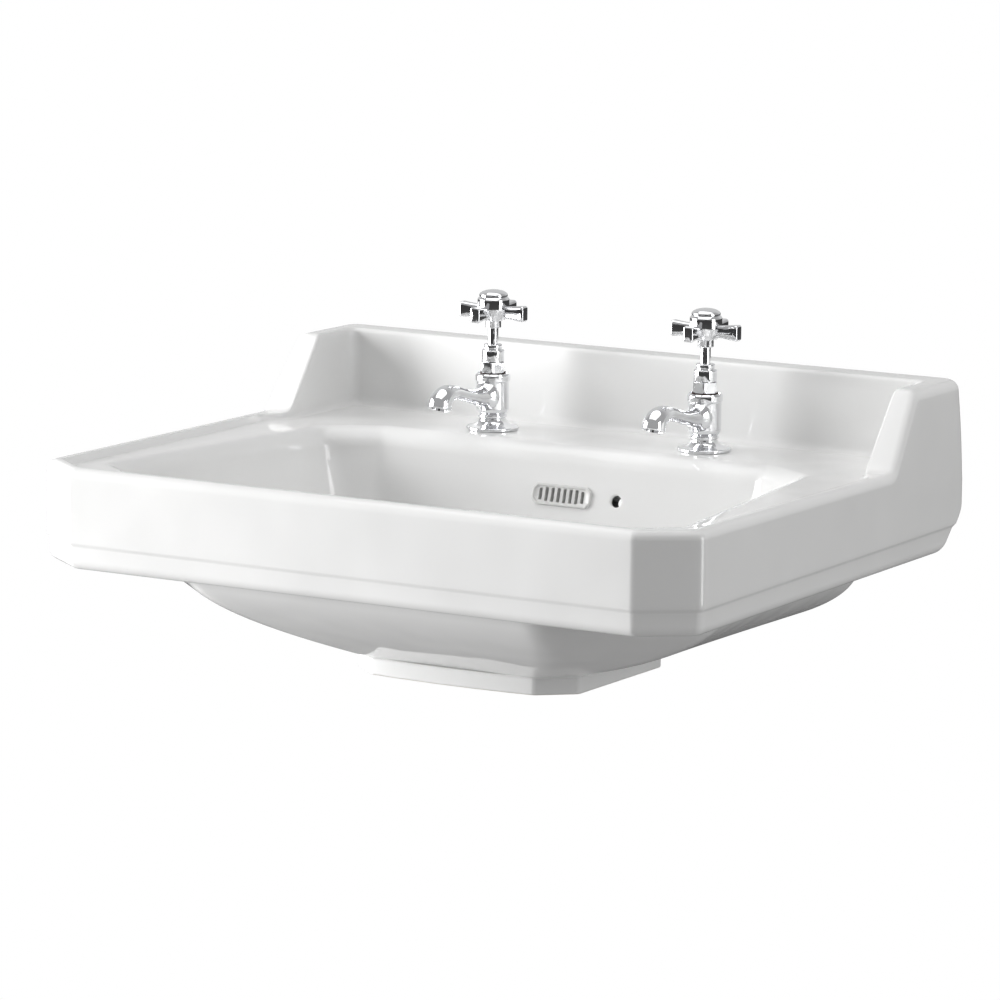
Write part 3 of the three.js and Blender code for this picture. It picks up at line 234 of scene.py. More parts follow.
def outline(corners, stations=False):
    """Corners are (x, y, radius). Every outline has the same number of points in the same order."""
    path = [(0, corners[0][1]), *corners, (0, corners[-1][1])]
    arcs = [fillet(*path[k:k + 3], ARC_STEPS) for k in range(len(corners))]
    ends = [[list(path[0])], *arcs, [list(path[-1])]]
    counts = (BACK_POINTS, CHAMFER_POINTS, SIDE_POINTS, CHAMFER_POINTS, FRONT_POINTS)
    left = list(ends[0])
    for k, (count, arc) in enumerate(zip(counts, ends[1:])):
        on_side = stations and k == 2
        left += station_points(left[-1], arc[0]) if on_side else spread(left[-1], arc[0], count)
        left += arc
    return left + [[-x, y] for x, y in reversed(left[1:-1])]


def at(points, z):
    return [[x, y, z] for x, y in points]


def lerp(a, b, share):
    return a + (b - a) * share


def ease(value):
    share = min(1, max(0, value))
    return share * share * (3 - 2 * share)


def quarter(steps):
    """Sine and cosine along a quarter turn."""
    return [(math.sin(k / steps * QUARTER), math.cos(k / steps * QUARTER)) for k in range(steps + 1)]


# ---- Basin: outside ----
CHAMFER = (43, 31)
REAR_ROUND = 9
CORNER_SOFTNESS = 9
BACK_EDGE_ROUND = 3
STEP_IN = 2
STEP_SPAN = (-2.2, 1.8)
BAND_HEIGHT = 20.5
BAND_TOP = -60.5
BAND_BOTTOM = BAND_TOP - BAND_HEIGHT
TUCK_START = -50
TUCK_ROUND = 8
BAND_CLIMB = 4.7
CLIMB_SPAN = (-56, -30)


def past_zero(value, soft):
    """The value where it is above zero and else zero, with a rounded change between the two."""
    return max(0, value) if abs(value) > soft else (value + soft) ** 2 / (4 * soft)


def rear_tuck(z):
    return past_zero(TUCK_START - z, TUCK_ROUND)


def slab_outline(back, side, z=0.0, rear_round=REAR_ROUND):
    """The basin's plan at a height. Below its start the rear slants forward."""
    corners = [
        (-HALF_WIDTH, -rear_tuck(z), rear_round),
        (-HALF_WIDTH, CHAMFER[1] - DEPTH, CORNER_SOFTNESS),
        (CHAMFER[0] - HALF_WIDTH, -DEPTH, CORNER_SOFTNESS),
    ]
    return outline(paired(inset(corners, (back, side, side, side))), stations=True)


def slab_level(side, z):
    """A ring of the fascia or band, which climb a little towards the wall."""
    run = DEPTH - CHAMFER[1]
    climb = BAND_CLIMB * ease((CLIMB_SPAN[1] - z) / (CLIMB_SPAN[1] - CLIMB_SPAN[0]))
    return [[x, y, z + climb * min(1, max(0, 1 + y / run))] for x, y in slab_outline(0, side, z)]


HULL_FRONT = (443, 306, 1.4)
HULL_FRONT_HALF = (155, 80, 2)
HULL_SIDE_HALF = (262, 108, 1.7)
HULL_CHAMFER_BACK = (101, 26, 1.2)
HULL_REAR_HALF = (206.5, 115, 3)
HULL_BOTTOM = -157
HULL_SOFTNESS = 30
HULL_STEPS = 26
HULL_COVE = 3


def hull_corners(share, wall=0.0, back=0.0):
    """The hull's plan, each size going from top to foot as 1 - share ** bend."""
    front, front_half, side_half, chamfer_back, rear_half = (
        low + (top - low) * (1 - share ** bend)
        for top, low, bend in (HULL_FRONT, HULL_FRONT_HALF, HULL_SIDE_HALF, HULL_CHAMFER_BACK, HULL_REAR_HALF)
    )
    corners = [
        (-rear_half, 0, 2),
        (-side_half, chamfer_back - front, HULL_SOFTNESS),
        (-front_half, -front, HULL_SOFTNESS),
    ]
    return paired(inset(corners, (back, wall, wall, wall)))


def hull_rings():
    drop = HULL_BOTTOM - BAND_BOTTOM
    shares = [math.sin(k / HULL_STEPS * QUARTER) for k in range(HULL_STEPS, 0, -1)]
    shares = [share for share in shares if drop * share < -HULL_COVE]
    rings = [at(outline(hull_corners(share)), BAND_BOTTOM + drop * share) for share in shares]
    cove = [
        at(outline(hull_corners(0, -HULL_COVE * (1 - c))), BAND_BOTTOM - HULL_COVE * (1 - s))
        for s, c in quarter(4)
    ]
    return rings + cove


FOOT_HALF_WIDTH = 103
FOOT_FRONT = 303
FOOT_REAR = 128
FOOT_CHAMFER = (28, 24)
FOOT_BOW = 4
FOOT_EDGE = 2.2
FOOT_COVE = 2.6


def foot_outline(grow):
    corners = [
        (-FOOT_HALF_WIDTH, -FOOT_REAR, 2),
        (-FOOT_HALF_WIDTH, FOOT_CHAMFER[1] - FOOT_FRONT, 7),
        (FOOT_CHAMFER[0] - FOOT_HALF_WIDTH, -FOOT_FRONT, 7),
    ]
    flat = FOOT_HALF_WIDTH - FOOT_CHAMFER[0]
    points = outline(paired(inset(corners, (-grow, -grow, -grow, -grow))))
    return [[x, y - FOOT_BOW * max(0, 1 - (x / flat) ** 2) * (y < -FOOT_FRONT + 4)] for x, y in points]


def foot_rings():
    edge = [at(foot_outline(-FOOT_EDGE * (1 - s)), FOOT_BOTTOM + FOOT_EDGE * (1 - c)) for s, c in quarter(4)]
    cove = [at(foot_outline(FOOT_COVE * (1 - c)), HULL_BOTTOM - FOOT_COVE * (1 - s)) for s, c in quarter(4)]
    return edge + cove[:-1]


# ---- Basin: rim, upstands and splashback ----
UPSTAND_TOP_RUN = 78
UPSTAND_FOOT_RUN = 124
CREST_ROUND = 8
CREST_COVE = 14
LEAN = 6
LEAN_START = -35
LEAN_BEND = 1.8
RIM_INNER = (10.2, 18.5)
SPLASH_THICKNESS = 26
UPSTAND_THICKNESS = 27.5
THICKENING = (-152, -120)
CREST_SLOPE = math.atan2(SPLASH_HEIGHT, UPSTAND_FOOT_RUN - UPSTAND_TOP_RUN)


def crest_height(y):
    """The height of the top edge: the rim, the upstand's slope with a cove and a round, the splashback."""
    tangent = math.tan(CREST_SLOPE / 2)
    top, low = -UPSTAND_TOP_RUN + CREST_ROUND * tangent, -UPSTAND_FOOT_RUN - CREST_COVE * tangent
    if y >= top:
        return SPLASH_HEIGHT
    if y <= low:
        return 0
    if y > top - CREST_ROUND * math.sin(CREST_SLOPE):
        return SPLASH_HEIGHT - CREST_ROUND + math.sqrt(CREST_ROUND ** 2 - (y - top) ** 2)
    if y < low + CREST_COVE * math.sin(CREST_SLOPE):
        return CREST_COVE - math.sqrt(CREST_COVE ** 2 - (y - low) ** 2)
    return (y + UPSTAND_FOOT_RUN) * math.tan(CREST_SLOPE)


COLUMNS = slab_outline(0, 0)
HIGH = [crest_height(y) / SPLASH_HEIGHT for x, y in COLUMNS]
THICK = [ease((y - THICKENING[0]) / (THICKENING[1] - THICKENING[0])) for x, y in COLUMNS]
AT_WALL = [ease(1 - (HALF_WIDTH - REAR_ROUND - abs(x)) / -REAR_ROUND) if y > -REAR_ROUND else 0
           for x, y in COLUMNS]


def lean(z):
    return LEAN * max(0, (z - LEAN_START) / (SPLASH_HEIGHT - LEAN_START)) ** LEAN_BEND


def crest_ring(rim, crown, plan):
    """Blends a place on the rim's section with one on the splashback's; each is (back, side, z)."""
    low, high = slab_outline(rim[0], rim[1]), slab_outline(crown[0], crown[1])
    return [
        [lerp(a[0], b[0], p), lerp(a[1], b[1], p), lerp(rim[2], crown[2], h)]
        for a, b, p, h in zip(low, high, plan, HIGH)
    ]


def outer_face_rings(edge_round, steps=9, start=-14):
    rings = []
    for k in range(steps):
        share = k / steps
        low = lerp(start, -edge_round, share)
        high = lerp(start, SPLASH_HEIGHT - edge_round, share)
        rings.append(crest_ring((0, 0, low), (0, lean(high), high), HIGH))
    return rings


def crest_edge_rings(edge_round):
    """The rounded outer edge. Against the wall its radius is smaller."""
    rings = []
    for s, c in quarter(10):
        high = SPLASH_HEIGHT - edge_round * (1 - s)
        ring = crest_ring(
            (BACK_EDGE_ROUND * (1 - c), edge_round * (1 - c), -edge_round * (1 - s)),
            (BACK_EDGE_ROUND * (1 - c), lean(high) + edge_round * (1 - c), high), HIGH)
        rise = (edge_round - BACK_EDGE_ROUND) * (1 - s)
        rings.append([[x, y, z + rise * wall] for (x, y, z), wall in zip(ring, AT_WALL)])
    return rings


def inner_profile(inner_edge, splash_cove):
    """(back, side, z) down the splashback's inner side: the rounded edge, the face and the cove."""
    edge = [(inner_edge * (s - 1), SPLASH_HEIGHT - inner_edge * (1 - c)) for s, c in quarter(6)]
    low, high = DECK + splash_cove, SPLASH_HEIGHT - inner_edge
    face = [(0, lerp(high, low, k / 6)) for k in range(1, 6)]
    cove = [(splash_cove * (1 - c), DECK + splash_cove * (1 - s)) for s, c in quarter(8)]
    return [(SPLASH_THICKNESS + d, UPSTAND_THICKNESS + d, z) for d, z in edge + face + cove]


def inner_rings(inner_edge, splash_cove):
    profile = inner_profile(inner_edge, splash_cove)
    rings = []
    for k, crown in enumerate(profile):
        share = k / (len(profile) - 1)
        side = lerp(*RIM_INNER, share)
        rings.append(crest_ring((side, side, DECK * ease(share)), crown, THICK))
    return rings


# ---- Basin: bowl ----
BOWL_BACK = 110
BOWL_FRONT_MARGIN = 25
BOWL_SIDE_MARGIN = {"front": 30, "back": 65}
BOWL_BACK_CORNER = (52, 29)
BOWL_FRONT_CORNER = (46, 38)
BOWL_CORNER_ROUND = (16, 46)
FRONT_CUT_CLOSING = 0.55
FRONT_CUT_SOFTNESS = 7
BOWL_DEPTH = 123
BOWL_LIP_ROUND = 18
BOWL_BACK_WALL = (0.27, 30)
BOWL_SIDE_WALL = (0.3, 60)
BOWL_FRONT_WALL = (0.5, 60)
BOWL_TURN = 111
BOWL_FLOOR = DECK - BOWL_DEPTH
WASTE_SEAT_RADIUS = 34
WASTE_SEAT_SINK = 3


def wall_inset(depth, wall):
    """How far a bowl wall lies inside the lip's outline: rolled lip, straight batter, curved foot."""
    batter, bend = wall
    lip = min(depth, BOWL_LIP_ROUND)
    rolled = math.sqrt(BOWL_LIP_ROUND ** 2 - (BOWL_LIP_ROUND - lip) ** 2)
    straight = max(0, depth - BOWL_LIP_ROUND) * batter
    curl = max(0, depth - (BOWL_DEPTH - bend))
    return rolled + straight + bend - math.sqrt(bend ** 2 - curl ** 2)


def front_cut_inset(side, ahead):
    """How far the cut front corner moves in: the mean of its walls, or more where the cut would close."""
    across, along = BOWL_FRONT_CORNER
    length = math.hypot(across, along)
    whole = (side * along + ahead * across) / length
    mean = (side + ahead) / 2
    return mean + past_zero(whole - mean - FRONT_CUT_CLOSING * across * along / length, FRONT_CUT_SOFTNESS)


def bowl_corners(depth, grow=0.0):
    front_half = HALF_WIDTH - BOWL_SIDE_MARGIN["front"]
    back_half = HALF_WIDTH - BOWL_SIDE_MARGIN["back"]
    front = DEPTH - BOWL_FRONT_MARGIN
    radius = lerp(*BOWL_CORNER_ROUND, depth / BOWL_DEPTH)
    corners = [
        (BOWL_BACK_CORNER[0] - back_half, -BOWL_BACK, radius),
        (-back_half, -BOWL_BACK - BOWL_BACK_CORNER[1], radius),
        (-front_half, BOWL_FRONT_CORNER[1] - front, radius),
        (BOWL_FRONT_CORNER[0] - front_half, -front, radius),
    ]
    back, side, ahead = (wall_inset(depth, wall) - grow
                         for wall in (BOWL_BACK_WALL, BOWL_SIDE_WALL, BOWL_FRONT_WALL))
    return inset(corners, (back, (back + side) / 2, side, front_cut_inset(side, ahead), ahead))


def bowl_wall_rings(grow=0.0):
    lip = [BOWL_LIP_ROUND * (1 - cosine) for _, cosine in quarter(10)]
    straight = [lerp(BOWL_LIP_ROUND, BOWL_DEPTH - BOWL_SIDE_WALL[1], k / 5) for k in range(1, 6)]
    bend = [lerp(straight[-1], BOWL_TURN, k / 12) for k in range(1, 13)]
    return [at(outline(bowl_corners(depth, grow)), DECK - depth - grow) for depth in lip + straight + bend]


def seat_ring(radius, z, around):
    """A circle round the waste whose points lie in the same directions as another ring's."""
    ring = []
    for x, y, _ in around:
        reach = math.hypot(x, y - WASTE_Y)
        ring.append([x * radius / reach, WASTE_Y + (y - WASTE_Y) * radius / reach, z])
    return ring


def floor_rings(last, radius, z, steps=12):
    """Carries each wall on in its own slope and flattens it towards the waste."""
    above = [math.dist(p[:2], (0, WASTE_Y)) for p in last]
    slope = 1 / (BOWL_SIDE_WALL[0] + 0.8 / 0.6)
    drop = last[0][2] - z
    rings = []
    for k in range(1, steps + 1):
        share = k / steps
        ring = []
        for (x, y, _), reach in zip(last, above):
            fall = max(1.6, slope * (reach - radius) / drop)
            along = lerp(1, radius / reach, share)
            ring.append([x * along, WASTE_Y + (y - WASTE_Y) * along, z + drop * (1 - share) ** fall])
        rings.append(ring)
    return rings


def bowl_rings():
    walls = bowl_wall_rings()
    floor = floor_rings(walls[-1], WASTE_SEAT_RADIUS + 1.6, BOWL_FLOOR)
    seat = [(1.1, -0.15), (0.5, -0.5), (0.1, -1.1), (0, -2.2), (-0.25, -2.75), (-0.8, -WASTE_SEAT_SINK)]
    sunk = [seat_ring(WASTE_SEAT_RADIUS + grow, BOWL_FLOOR + z, floor[-1]) for grow, z in seat]
    return walls + floor + sunk


def deck_ring(outer, inner, share):
    return [[lerp(a, b, share) for a, b in zip(p, q)] for p, q in zip(outer, inner)]


def basin_skin(sizes):
    """Every outside ring in order: foot, hull, band, fascia, crest, deck, bowl and waste seat."""
    edge_round, inner_edge, splash_cove, soft = (
        value / MM for value in (sizes.edge_round, sizes.inner_edge, sizes.splash_cove, sizes.band_round))
    band = [slab_level(STEP_IN + soft * (1 - s), BAND_BOTTOM + soft * (1 - c)) for s, c in quarter(8)]
    step = [slab_level(STEP_IN * (1 - ease(k / 6)), BAND_TOP + lerp(*STEP_SPAN, k / 6)) for k in range(7)]
    fascia = [slab_level(0, z) for z in (-56, -54, -51, -48, -45, -42, -38, -33, -27, -20)]
    rings = foot_rings() + hull_rings() + band + step + fascia
    rings += outer_face_rings(edge_round) + crest_edge_rings(edge_round)
    inner, bowl = inner_rings(inner_edge, splash_cove), bowl_rings()
    rings += inner + [deck_ring(inner[-1], bowl[0], share) for share in (0.35, 0.7)] + bowl
    return ring_piece("basin_china", rings)


# ---- Basin: the hollow underside and the holes ----
SHELL = 11
BACK_THICKNESS = 12
DECK_THICKNESS = 12
ACCESS_HALF_WIDTH = 126
ACCESS_FRONT = 150
THROUGH = 40
OVERFLOW_HEIGHT = -44
OVERFLOW_SIZE = (46, 13.2)
DUCT_WIDTH = 36
DUCT_GAP = 9
DUCT_WALL = 8
CHAIN_HOLE_ACROSS = 50
CHAIN_HOLE_RADIUS = 4.7
CHAIN_HOLE_LIP = 1.8
BOSS_RADIUS = 37
BOSS_BOTTOM = -160
TAP_HOLE_RADIUS = 14
WASTE_HOLE_RADIUS = 23
WALL_BOLT = (140, -100, 7)


def block(name, low, high):
    """A box between two corners."""
    fresh()
    bpy.ops.mesh.primitive_cube_add(size=MM)
    piece = named(bpy.context.object, name)
    for vertex in piece.data.vertices:
        vertex.co = [(a if value < 0 else b) * MM for value, a, b in zip(vertex.co, low, high)]
    return piece


def moved(piece, place, turn=None):
    """Turns a piece about the origin, then shifts it, and leaves its place in its mesh."""
    pick(piece)
    piece.data.transform(Matrix.Translation([value * MM for value in place]) @ (turn or Matrix()))
    return piece


def back_wall_point(depth, out):
    slope = math.atan(BOWL_BACK_WALL[0])
    curl = max(0, depth - (BOWL_DEPTH - BOWL_BACK_WALL[1]))
    tilt = slope + math.asin(curl / BOWL_BACK_WALL[1]) * 0.8
    y = -BOWL_BACK - wall_inset(depth, BOWL_BACK_WALL)
    return y + out * math.cos(tilt), DECK - depth - out * math.sin(tilt)


OVERFLOW_PLACE = back_wall_point(DECK - OVERFLOW_HEIGHT, 0)
OVERFLOW_LEAN = math.atan(BOWL_BACK_WALL[0])


def onto_back_wall(piece, across=0):
    """Puts something modelled flat, facing +Z with +Y up, on the bowl's back wall."""
    turn = Matrix.Rotation(QUARTER - OVERFLOW_LEAN, 4, "X")
    return moved(piece, (across, *OVERFLOW_PLACE), turn)


def duct(near, far, low, high, half_width, name):
    depths = (DECK - OVERFLOW_HEIGHT - OVERFLOW_SIZE[1], 60, BOWL_DEPTH - BOWL_BACK_WALL[1],
              BOWL_DEPTH - BOWL_BACK_WALL[1] * 0.4)
    path = [back_wall_point(depth, near) for depth in depths]
    path += [(WASTE_Y, high), (WASTE_Y, low)] + [back_wall_point(depth, far) for depth in reversed(depths)]
    return ring_piece(name, [[[x, y, z] for y, z in path] for x in (-half_width, half_width)])


def duct_shell():
    reach = SHELL + DUCT_GAP + DUCT_WALL
    half = DUCT_WIDTH / 2 + DUCT_WALL
    body = duct(0, reach, BOSS_BOTTOM, BOWL_FLOOR, half, "duct_shell")
    y, z = back_wall_point(DECK - OVERFLOW_HEIGHT - OVERFLOW_SIZE[1], 0)
    lid = block("duct_lid", (-half, y, z - DUCT_WALL - DUCT_GAP), (half, y + reach, z + DUCT_WALL))
    return cut(body, [lid], "UNION")


def bowl_solid(grow):
    """The bowl's inside grown by a wall thickness."""
    walls = bowl_wall_rings(grow)
    floor = floor_rings(walls[-1], WASTE_SEAT_RADIUS + grow, BOWL_FLOOR - grow)
    return ring_piece("bowl_solid", [at(outline(bowl_corners(0, grow)), DECK)] + walls + floor)


def rod(radius, low, high, place=(0, 0, 0), sides=64):
    return turned("rod", [(0, low), (radius, low), (radius, high), (0, high)], place, sides)


def under_hollow():
    drop = HULL_BOTTOM - BAND_BOTTOM
    shares = [math.sin(k / 14 * QUARTER) for k in range(13, -1, -1)]
    hull_space = ring_piece("hull_space", [
        at(outline(hull_corners(share, SHELL, BACK_THICKNESS)), BAND_BOTTOM + drop * share + SHELL)
        for share in shares])
    levels = ((STEP_IN + SHELL, BAND_BOTTOM + SHELL), (STEP_IN, TUCK_START), (STEP_IN, DECK - DECK_THICKNESS))
    slab_space = ring_piece("slab_space", [
        at(slab_outline(BACK_THICKNESS * math.sqrt(2), side + SHELL, z), z) for side, z in levels])
    access = block("access", (-ACCESS_HALF_WIDTH, -ACCESS_FRONT, FOOT_BOTTOM - THROUGH),
                   (ACCESS_HALF_WIDTH, -BACK_THICKNESS, DECK - DECK_THICKNESS))
    foot_space = ring_piece("foot_space", [
        at(foot_outline(-SHELL), FOOT_BOTTOM - THROUGH), at(foot_outline(-SHELL), HULL_BOTTOM + 2 * SHELL)])
    hollow = cut(slab_space, [hull_space, access, foot_space], "UNION")
    boss = rod(BOSS_RADIUS, BOSS_BOTTOM, BOWL_FLOOR, (0, WASTE_Y, 0))
    return cut(hollow, [bowl_solid(SHELL), duct_shell(), boss])


def basin_cutters():
    tap_holes = [rod(TAP_HOLE_RADIUS, DECK - THROUGH, DECK + THROUGH / 2, (side * TAP_X, TAP_Y, 0))
                 for side in (-1, 1)]
    across, height, radius = WALL_BOLT
    wall_holes = [moved(rod(radius, -THROUGH / 2, THROUGH / 2, sides=32), (side * across, 0, height),
                        Matrix.Rotation(QUARTER, 4, "X")) for side in (-1, 1)]
    lip = CHAIN_HOLE_LIP
    soft = [(CHAIN_HOLE_RADIUS + lip * (1 - c), -lip * (1 - s)) for s, c in quarter(6)]
    chain = turned("chain_hole", [(0, -2 * SHELL), (CHAIN_HOLE_RADIUS, -2 * SHELL), *soft,
                                  (CHAIN_HOLE_RADIUS + lip, SHELL), (0, SHELL)])
    width, height = OVERFLOW_SIZE[0] / 2, OVERFLOW_SIZE[1] / 2
    narrow = DUCT_WIDTH / 2
    throat = block("throat", (-narrow, -height, -SHELL - DUCT_GAP / 2), (narrow, height, 0))
    shallow = block("shallow", (-width, -height, -6), (width, height, SHELL))
    waste = rod(WASTE_HOLE_RADIUS, BOSS_BOTTOM - THROUGH, BOWL_FLOOR + THROUGH / 2, (0, WASTE_Y, 0), 96)
    bore = duct(SHELL, SHELL + DUCT_GAP, BOSS_BOTTOM + DUCT_WALL, BOWL_FLOOR - SHELL - 1, narrow, "duct_bore")
    return [under_hollow(), bore, *tap_holes, *wall_holes, onto_back_wall(chain, CHAIN_HOLE_ACROSS),
            onto_back_wall(throat), onto_back_wall(shallow), waste]


def basin_china(sizes):
    return smooth(tidy_faces(cut(basin_skin(sizes), basin_cutters())), 40)


# ---- Outlines and sweeps of the fittings ----
def closed_outline(corners, steps=4):
    """Rounds every corner of a closed outline. Each corner is (x, y, radius)."""
    points = []
    for k, corner in enumerate(corners):
        points += fillet(corners[k - 1], corner, corners[(k + 1) % len(corners)], steps)
    return points


def softened(profile, steps=5):
    """Rounds the corners of an open profile that give a radius as their third value."""
    points = [list(profile[0][:2])]
    for before, corner, after in zip(profile, profile[1:], profile[2:]):
        points += fillet(before, corner, after, steps) if len(corner) > 2 else [list(corner)]
    return points + [list(profile[-1][:2])]


def cut_octagon(width, height, corner, soft):
    x, y = width / 2, height / 2
    return closed_outline([
        (-x + corner, -y, soft), (x - corner, -y, soft), (x, -y + corner, soft), (x, y - corner, soft),
        (x - corner, y, soft), (-x + corner, y, soft), (-x, y - corner, soft), (-x, -y + corner, soft)])


def hexagon_reach(angle, flats, turn):
    within = (angle - math.radians(turn)) % (math.pi / 3) - math.pi / 6
    return flats / 2 / math.cos(within)


def hexagon_piece(name, flats, low, high, hole, place, turn=0.0, sides=96):
    """A nut or a spanner grip with its corners chamfered as a lathe would do it."""
    corner = flats / 2 / math.cos(math.pi / 6)
    drop = corner - flats / 2
    inner = flats / 2 * 0.97
    levels = [(inner, low), (corner - drop * 0.45, low + drop * 0.3), (corner, low + drop * 0.62),
              (corner, high - drop * 0.62), (corner - drop * 0.45, high - drop * 0.3), (inner, high)]
    around = [2 * math.pi * (k + 0.5) / sides for k in range(sides)]
    x, y, z = place

    def level(limit, height):
        reaches = [min(limit, hexagon_reach(a, flats, turn)) for a in around]
        return [[x + r * math.cos(a), y + r * math.sin(a), z + height] for r, a in zip(reaches, around)]

    ends = [level(hole, low)], [level(hole, high), level(hole, low)]
    return ring_piece(name, ends[0] + [level(*pair) for pair in levels] + ends[1], capped=False)


def thread(radius, depth, pitch, low, high):
    """Profile points of a thread's crests and roots between two heights."""
    count = int((high - low) / pitch)
    points = []
    for k in range(count):
        foot = low + k * pitch
        points += [(radius - depth, foot + pitch * 0.1), (radius, foot + pitch * 0.45),
                   (radius, foot + pitch * 0.6), (radius - depth, foot + pitch * 0.95)]
    return points


def copied(piece, name, shift):
    """A copy with its own mesh, moved by a distance."""
    pick(piece)
    bpy.ops.object.duplicate()
    twin = named(bpy.context.object, name)
    bpy.ops.transform.translate(value=[value * MM for value in shift])
    bpy.ops.object.transform_apply(location=True, rotation=True, scale=True)
    return twin


# ---- Overflow grille ----
GRILLE_SIZE = (55, 17.5)
GRILLE_CORNER = 4
GRILLE_PLATE = 2.2
GRILLE_BORDER = 2.2
GRILLE_SINK = 0.9
GRILLE_PLUG = 5
SLOTS = 8
SLOT_PITCH = 5.6
SLOT_WIDTH = 3
SLOT_HEIGHT = 11.6
END_SLOT_HEIGHT = 9.8
GAP = 0.25


def grille_level(inwards, z, soft=1.2):
    width, height = GRILLE_SIZE
    return at(cut_octagon(width - 2 * inwards, height - 2 * inwards, GRILLE_CORNER - inwards * 0.4, soft), z)


def grille_plate():
    edge = [grille_level(0.8 * (1 - c), GRILLE_PLATE - 0.8 * (1 - s)) for s, c in quarter(5)]
    step = [grille_level(GRILLE_BORDER - 0.5 + 0.9 * k / 5, GRILLE_PLATE - GRILLE_SINK * ease(k / 5))
            for k in range(6)]
    return ring_piece("overflow_plate", [grille_level(0.3, GAP), grille_level(0, GAP + 0.3)] + edge + step)


def overflow_plate():
    plate = grille_plate()
    half_width, half_height = OVERFLOW_SIZE[0] / 2 - GAP, OVERFLOW_SIZE[1] / 2 - GAP
    plug = block("plug", (-half_width, -half_height, -GRILLE_PLUG), (half_width, half_height, GAP + 0.5))
    cut(plate, [plug], "UNION")
    for k in range(SLOTS):
        middle = (k - (SLOTS - 1) / 2) * SLOT_PITCH
        half = (END_SLOT_HEIGHT if k in (0, SLOTS - 1) else SLOT_HEIGHT) / 2
        wide = SLOT_WIDTH / 2
        corners = [(middle + sx * wide, sy * half, 0.9) for sx, sy in ((-1, -1), (1, -1), (1, 1), (-1, 1))]
        shape = closed_outline(corners)
        cut(plate, [ring_piece("slot", [at(shape, -GRILLE_PLUG - 1), at(shape, GRILLE_PLATE + 1)])])
    return smooth(onto_back_wall(tidy_faces(plate)), 35)


# ---- Taps: heights are above the deck ----
TAP = (-TAP_X, TAP_Y, DECK)
NEXT_TAP = (2 * TAP_X, 0, 0)
TAIL_RADIUS = 10.4
TAIL_BORE = 7.4
TAIL_LENGTH = 55
THREAD_PITCH = 1.81
SEAL_POCKET = (17.05, 1.6)
FLANGE_RADIUS = 21.8
NECK_RADIUS = 10.9
BARREL_RADIUS = 13.6
BEAD_RADIUS = 14.6
BODY_TOP = 47
CHAMBER_RADIUS = 9.4
WASHER_POCKET = (12.45, 45.6)
SEAT_HEIGHT = 20
SEAT_HOLE = 4.6
SPOUT_WALL = 2.2
SPOUT_PATH = ((4, 28.5), (20, 28.8), (34, 31), (48, 34.6), (62, 37.6), (74, 37.4), (82, 33), (84, 27.4))
SPOUT_HALF = ((8.4, 8.6), (7.6, 7.6), (5.8, 6.6), (5.6, 6.2), (6.6, 6.8), (8, 8.4), (9.2, 9.4), (9.7, 9.7))
SPOUT_ROOT = 13.2
SPOUT_BLEND = 5
SPOUT_STEPS = 60
SPOUT_SIDES = 56


def along_curve(points, share):
    """A place on the smooth curve through evenly spaced points, and its direction."""
    whole = min(share, 0.99999) * (len(points) - 1)
    k = int(whole)
    t = whole - k
    here, there = Vector(points[k]), Vector(points[k + 1])
    before = Vector(points[k - 1]) if k else 2 * here - there
    after = Vector(points[k + 2]) if k + 2 < len(points) else 2 * there - here
    leave, arrive = (there - before) / 2, (after - here) / 2
    place = (here * (2 * t ** 3 - 3 * t ** 2 + 1) + leave * (t ** 3 - 2 * t ** 2 + t)
             + there * (3 * t ** 2 - 2 * t ** 3) + arrive * (t ** 3 - t ** 2))
    course = (here * (6 * t ** 2 - 6 * t) + leave * (3 * t ** 2 - 4 * t + 1)
              + there * (6 * t - 6 * t ** 2) + arrive * (3 * t ** 2 - 2 * t))
    return place, course.normalized()


def spout_ring(share, thinner=0.0, beyond=0.0):
    (forward, height), (ahead, rise) = along_curve(SPOUT_PATH, share)
    tall, wide = along_curve(SPOUT_HALF, share)[0]
    near = max(0, SPOUT_ROOT + SPOUT_BLEND - forward) / SPOUT_BLEND
    flare = SPOUT_BLEND * (1 - math.sqrt(1 - min(1, near) ** 2)) if not thinner else 0
    x, y, z = TAP
    ring = []
    for k in range(SPOUT_SIDES):
        angle = 2 * math.pi * k / SPOUT_SIDES
        up = (tall - thinner + flare) * math.sin(angle)
        ring.append([x + (wide - thinner + flare * 0.6) * math.cos(angle),
                     y - forward - beyond * ahead + up * rise, z + height + beyond * rise + up * ahead])
    return ring


def spout():
    rings = [spout_ring(k / SPOUT_STEPS) for k in range(SPOUT_STEPS + 1)]
    lip = [spout_ring(1, 0.9 * (1 - c), 0.9 * s) for s, c in quarter(4)[1:]]
    return ring_piece("spout", rings + lip)


def spout_bore():
    rings = [spout_ring(k / 24, SPOUT_WALL) for k in range(25)]
    return ring_piece("spout_bore", rings + [spout_ring(1, SPOUT_WALL - 0.5, 3)])


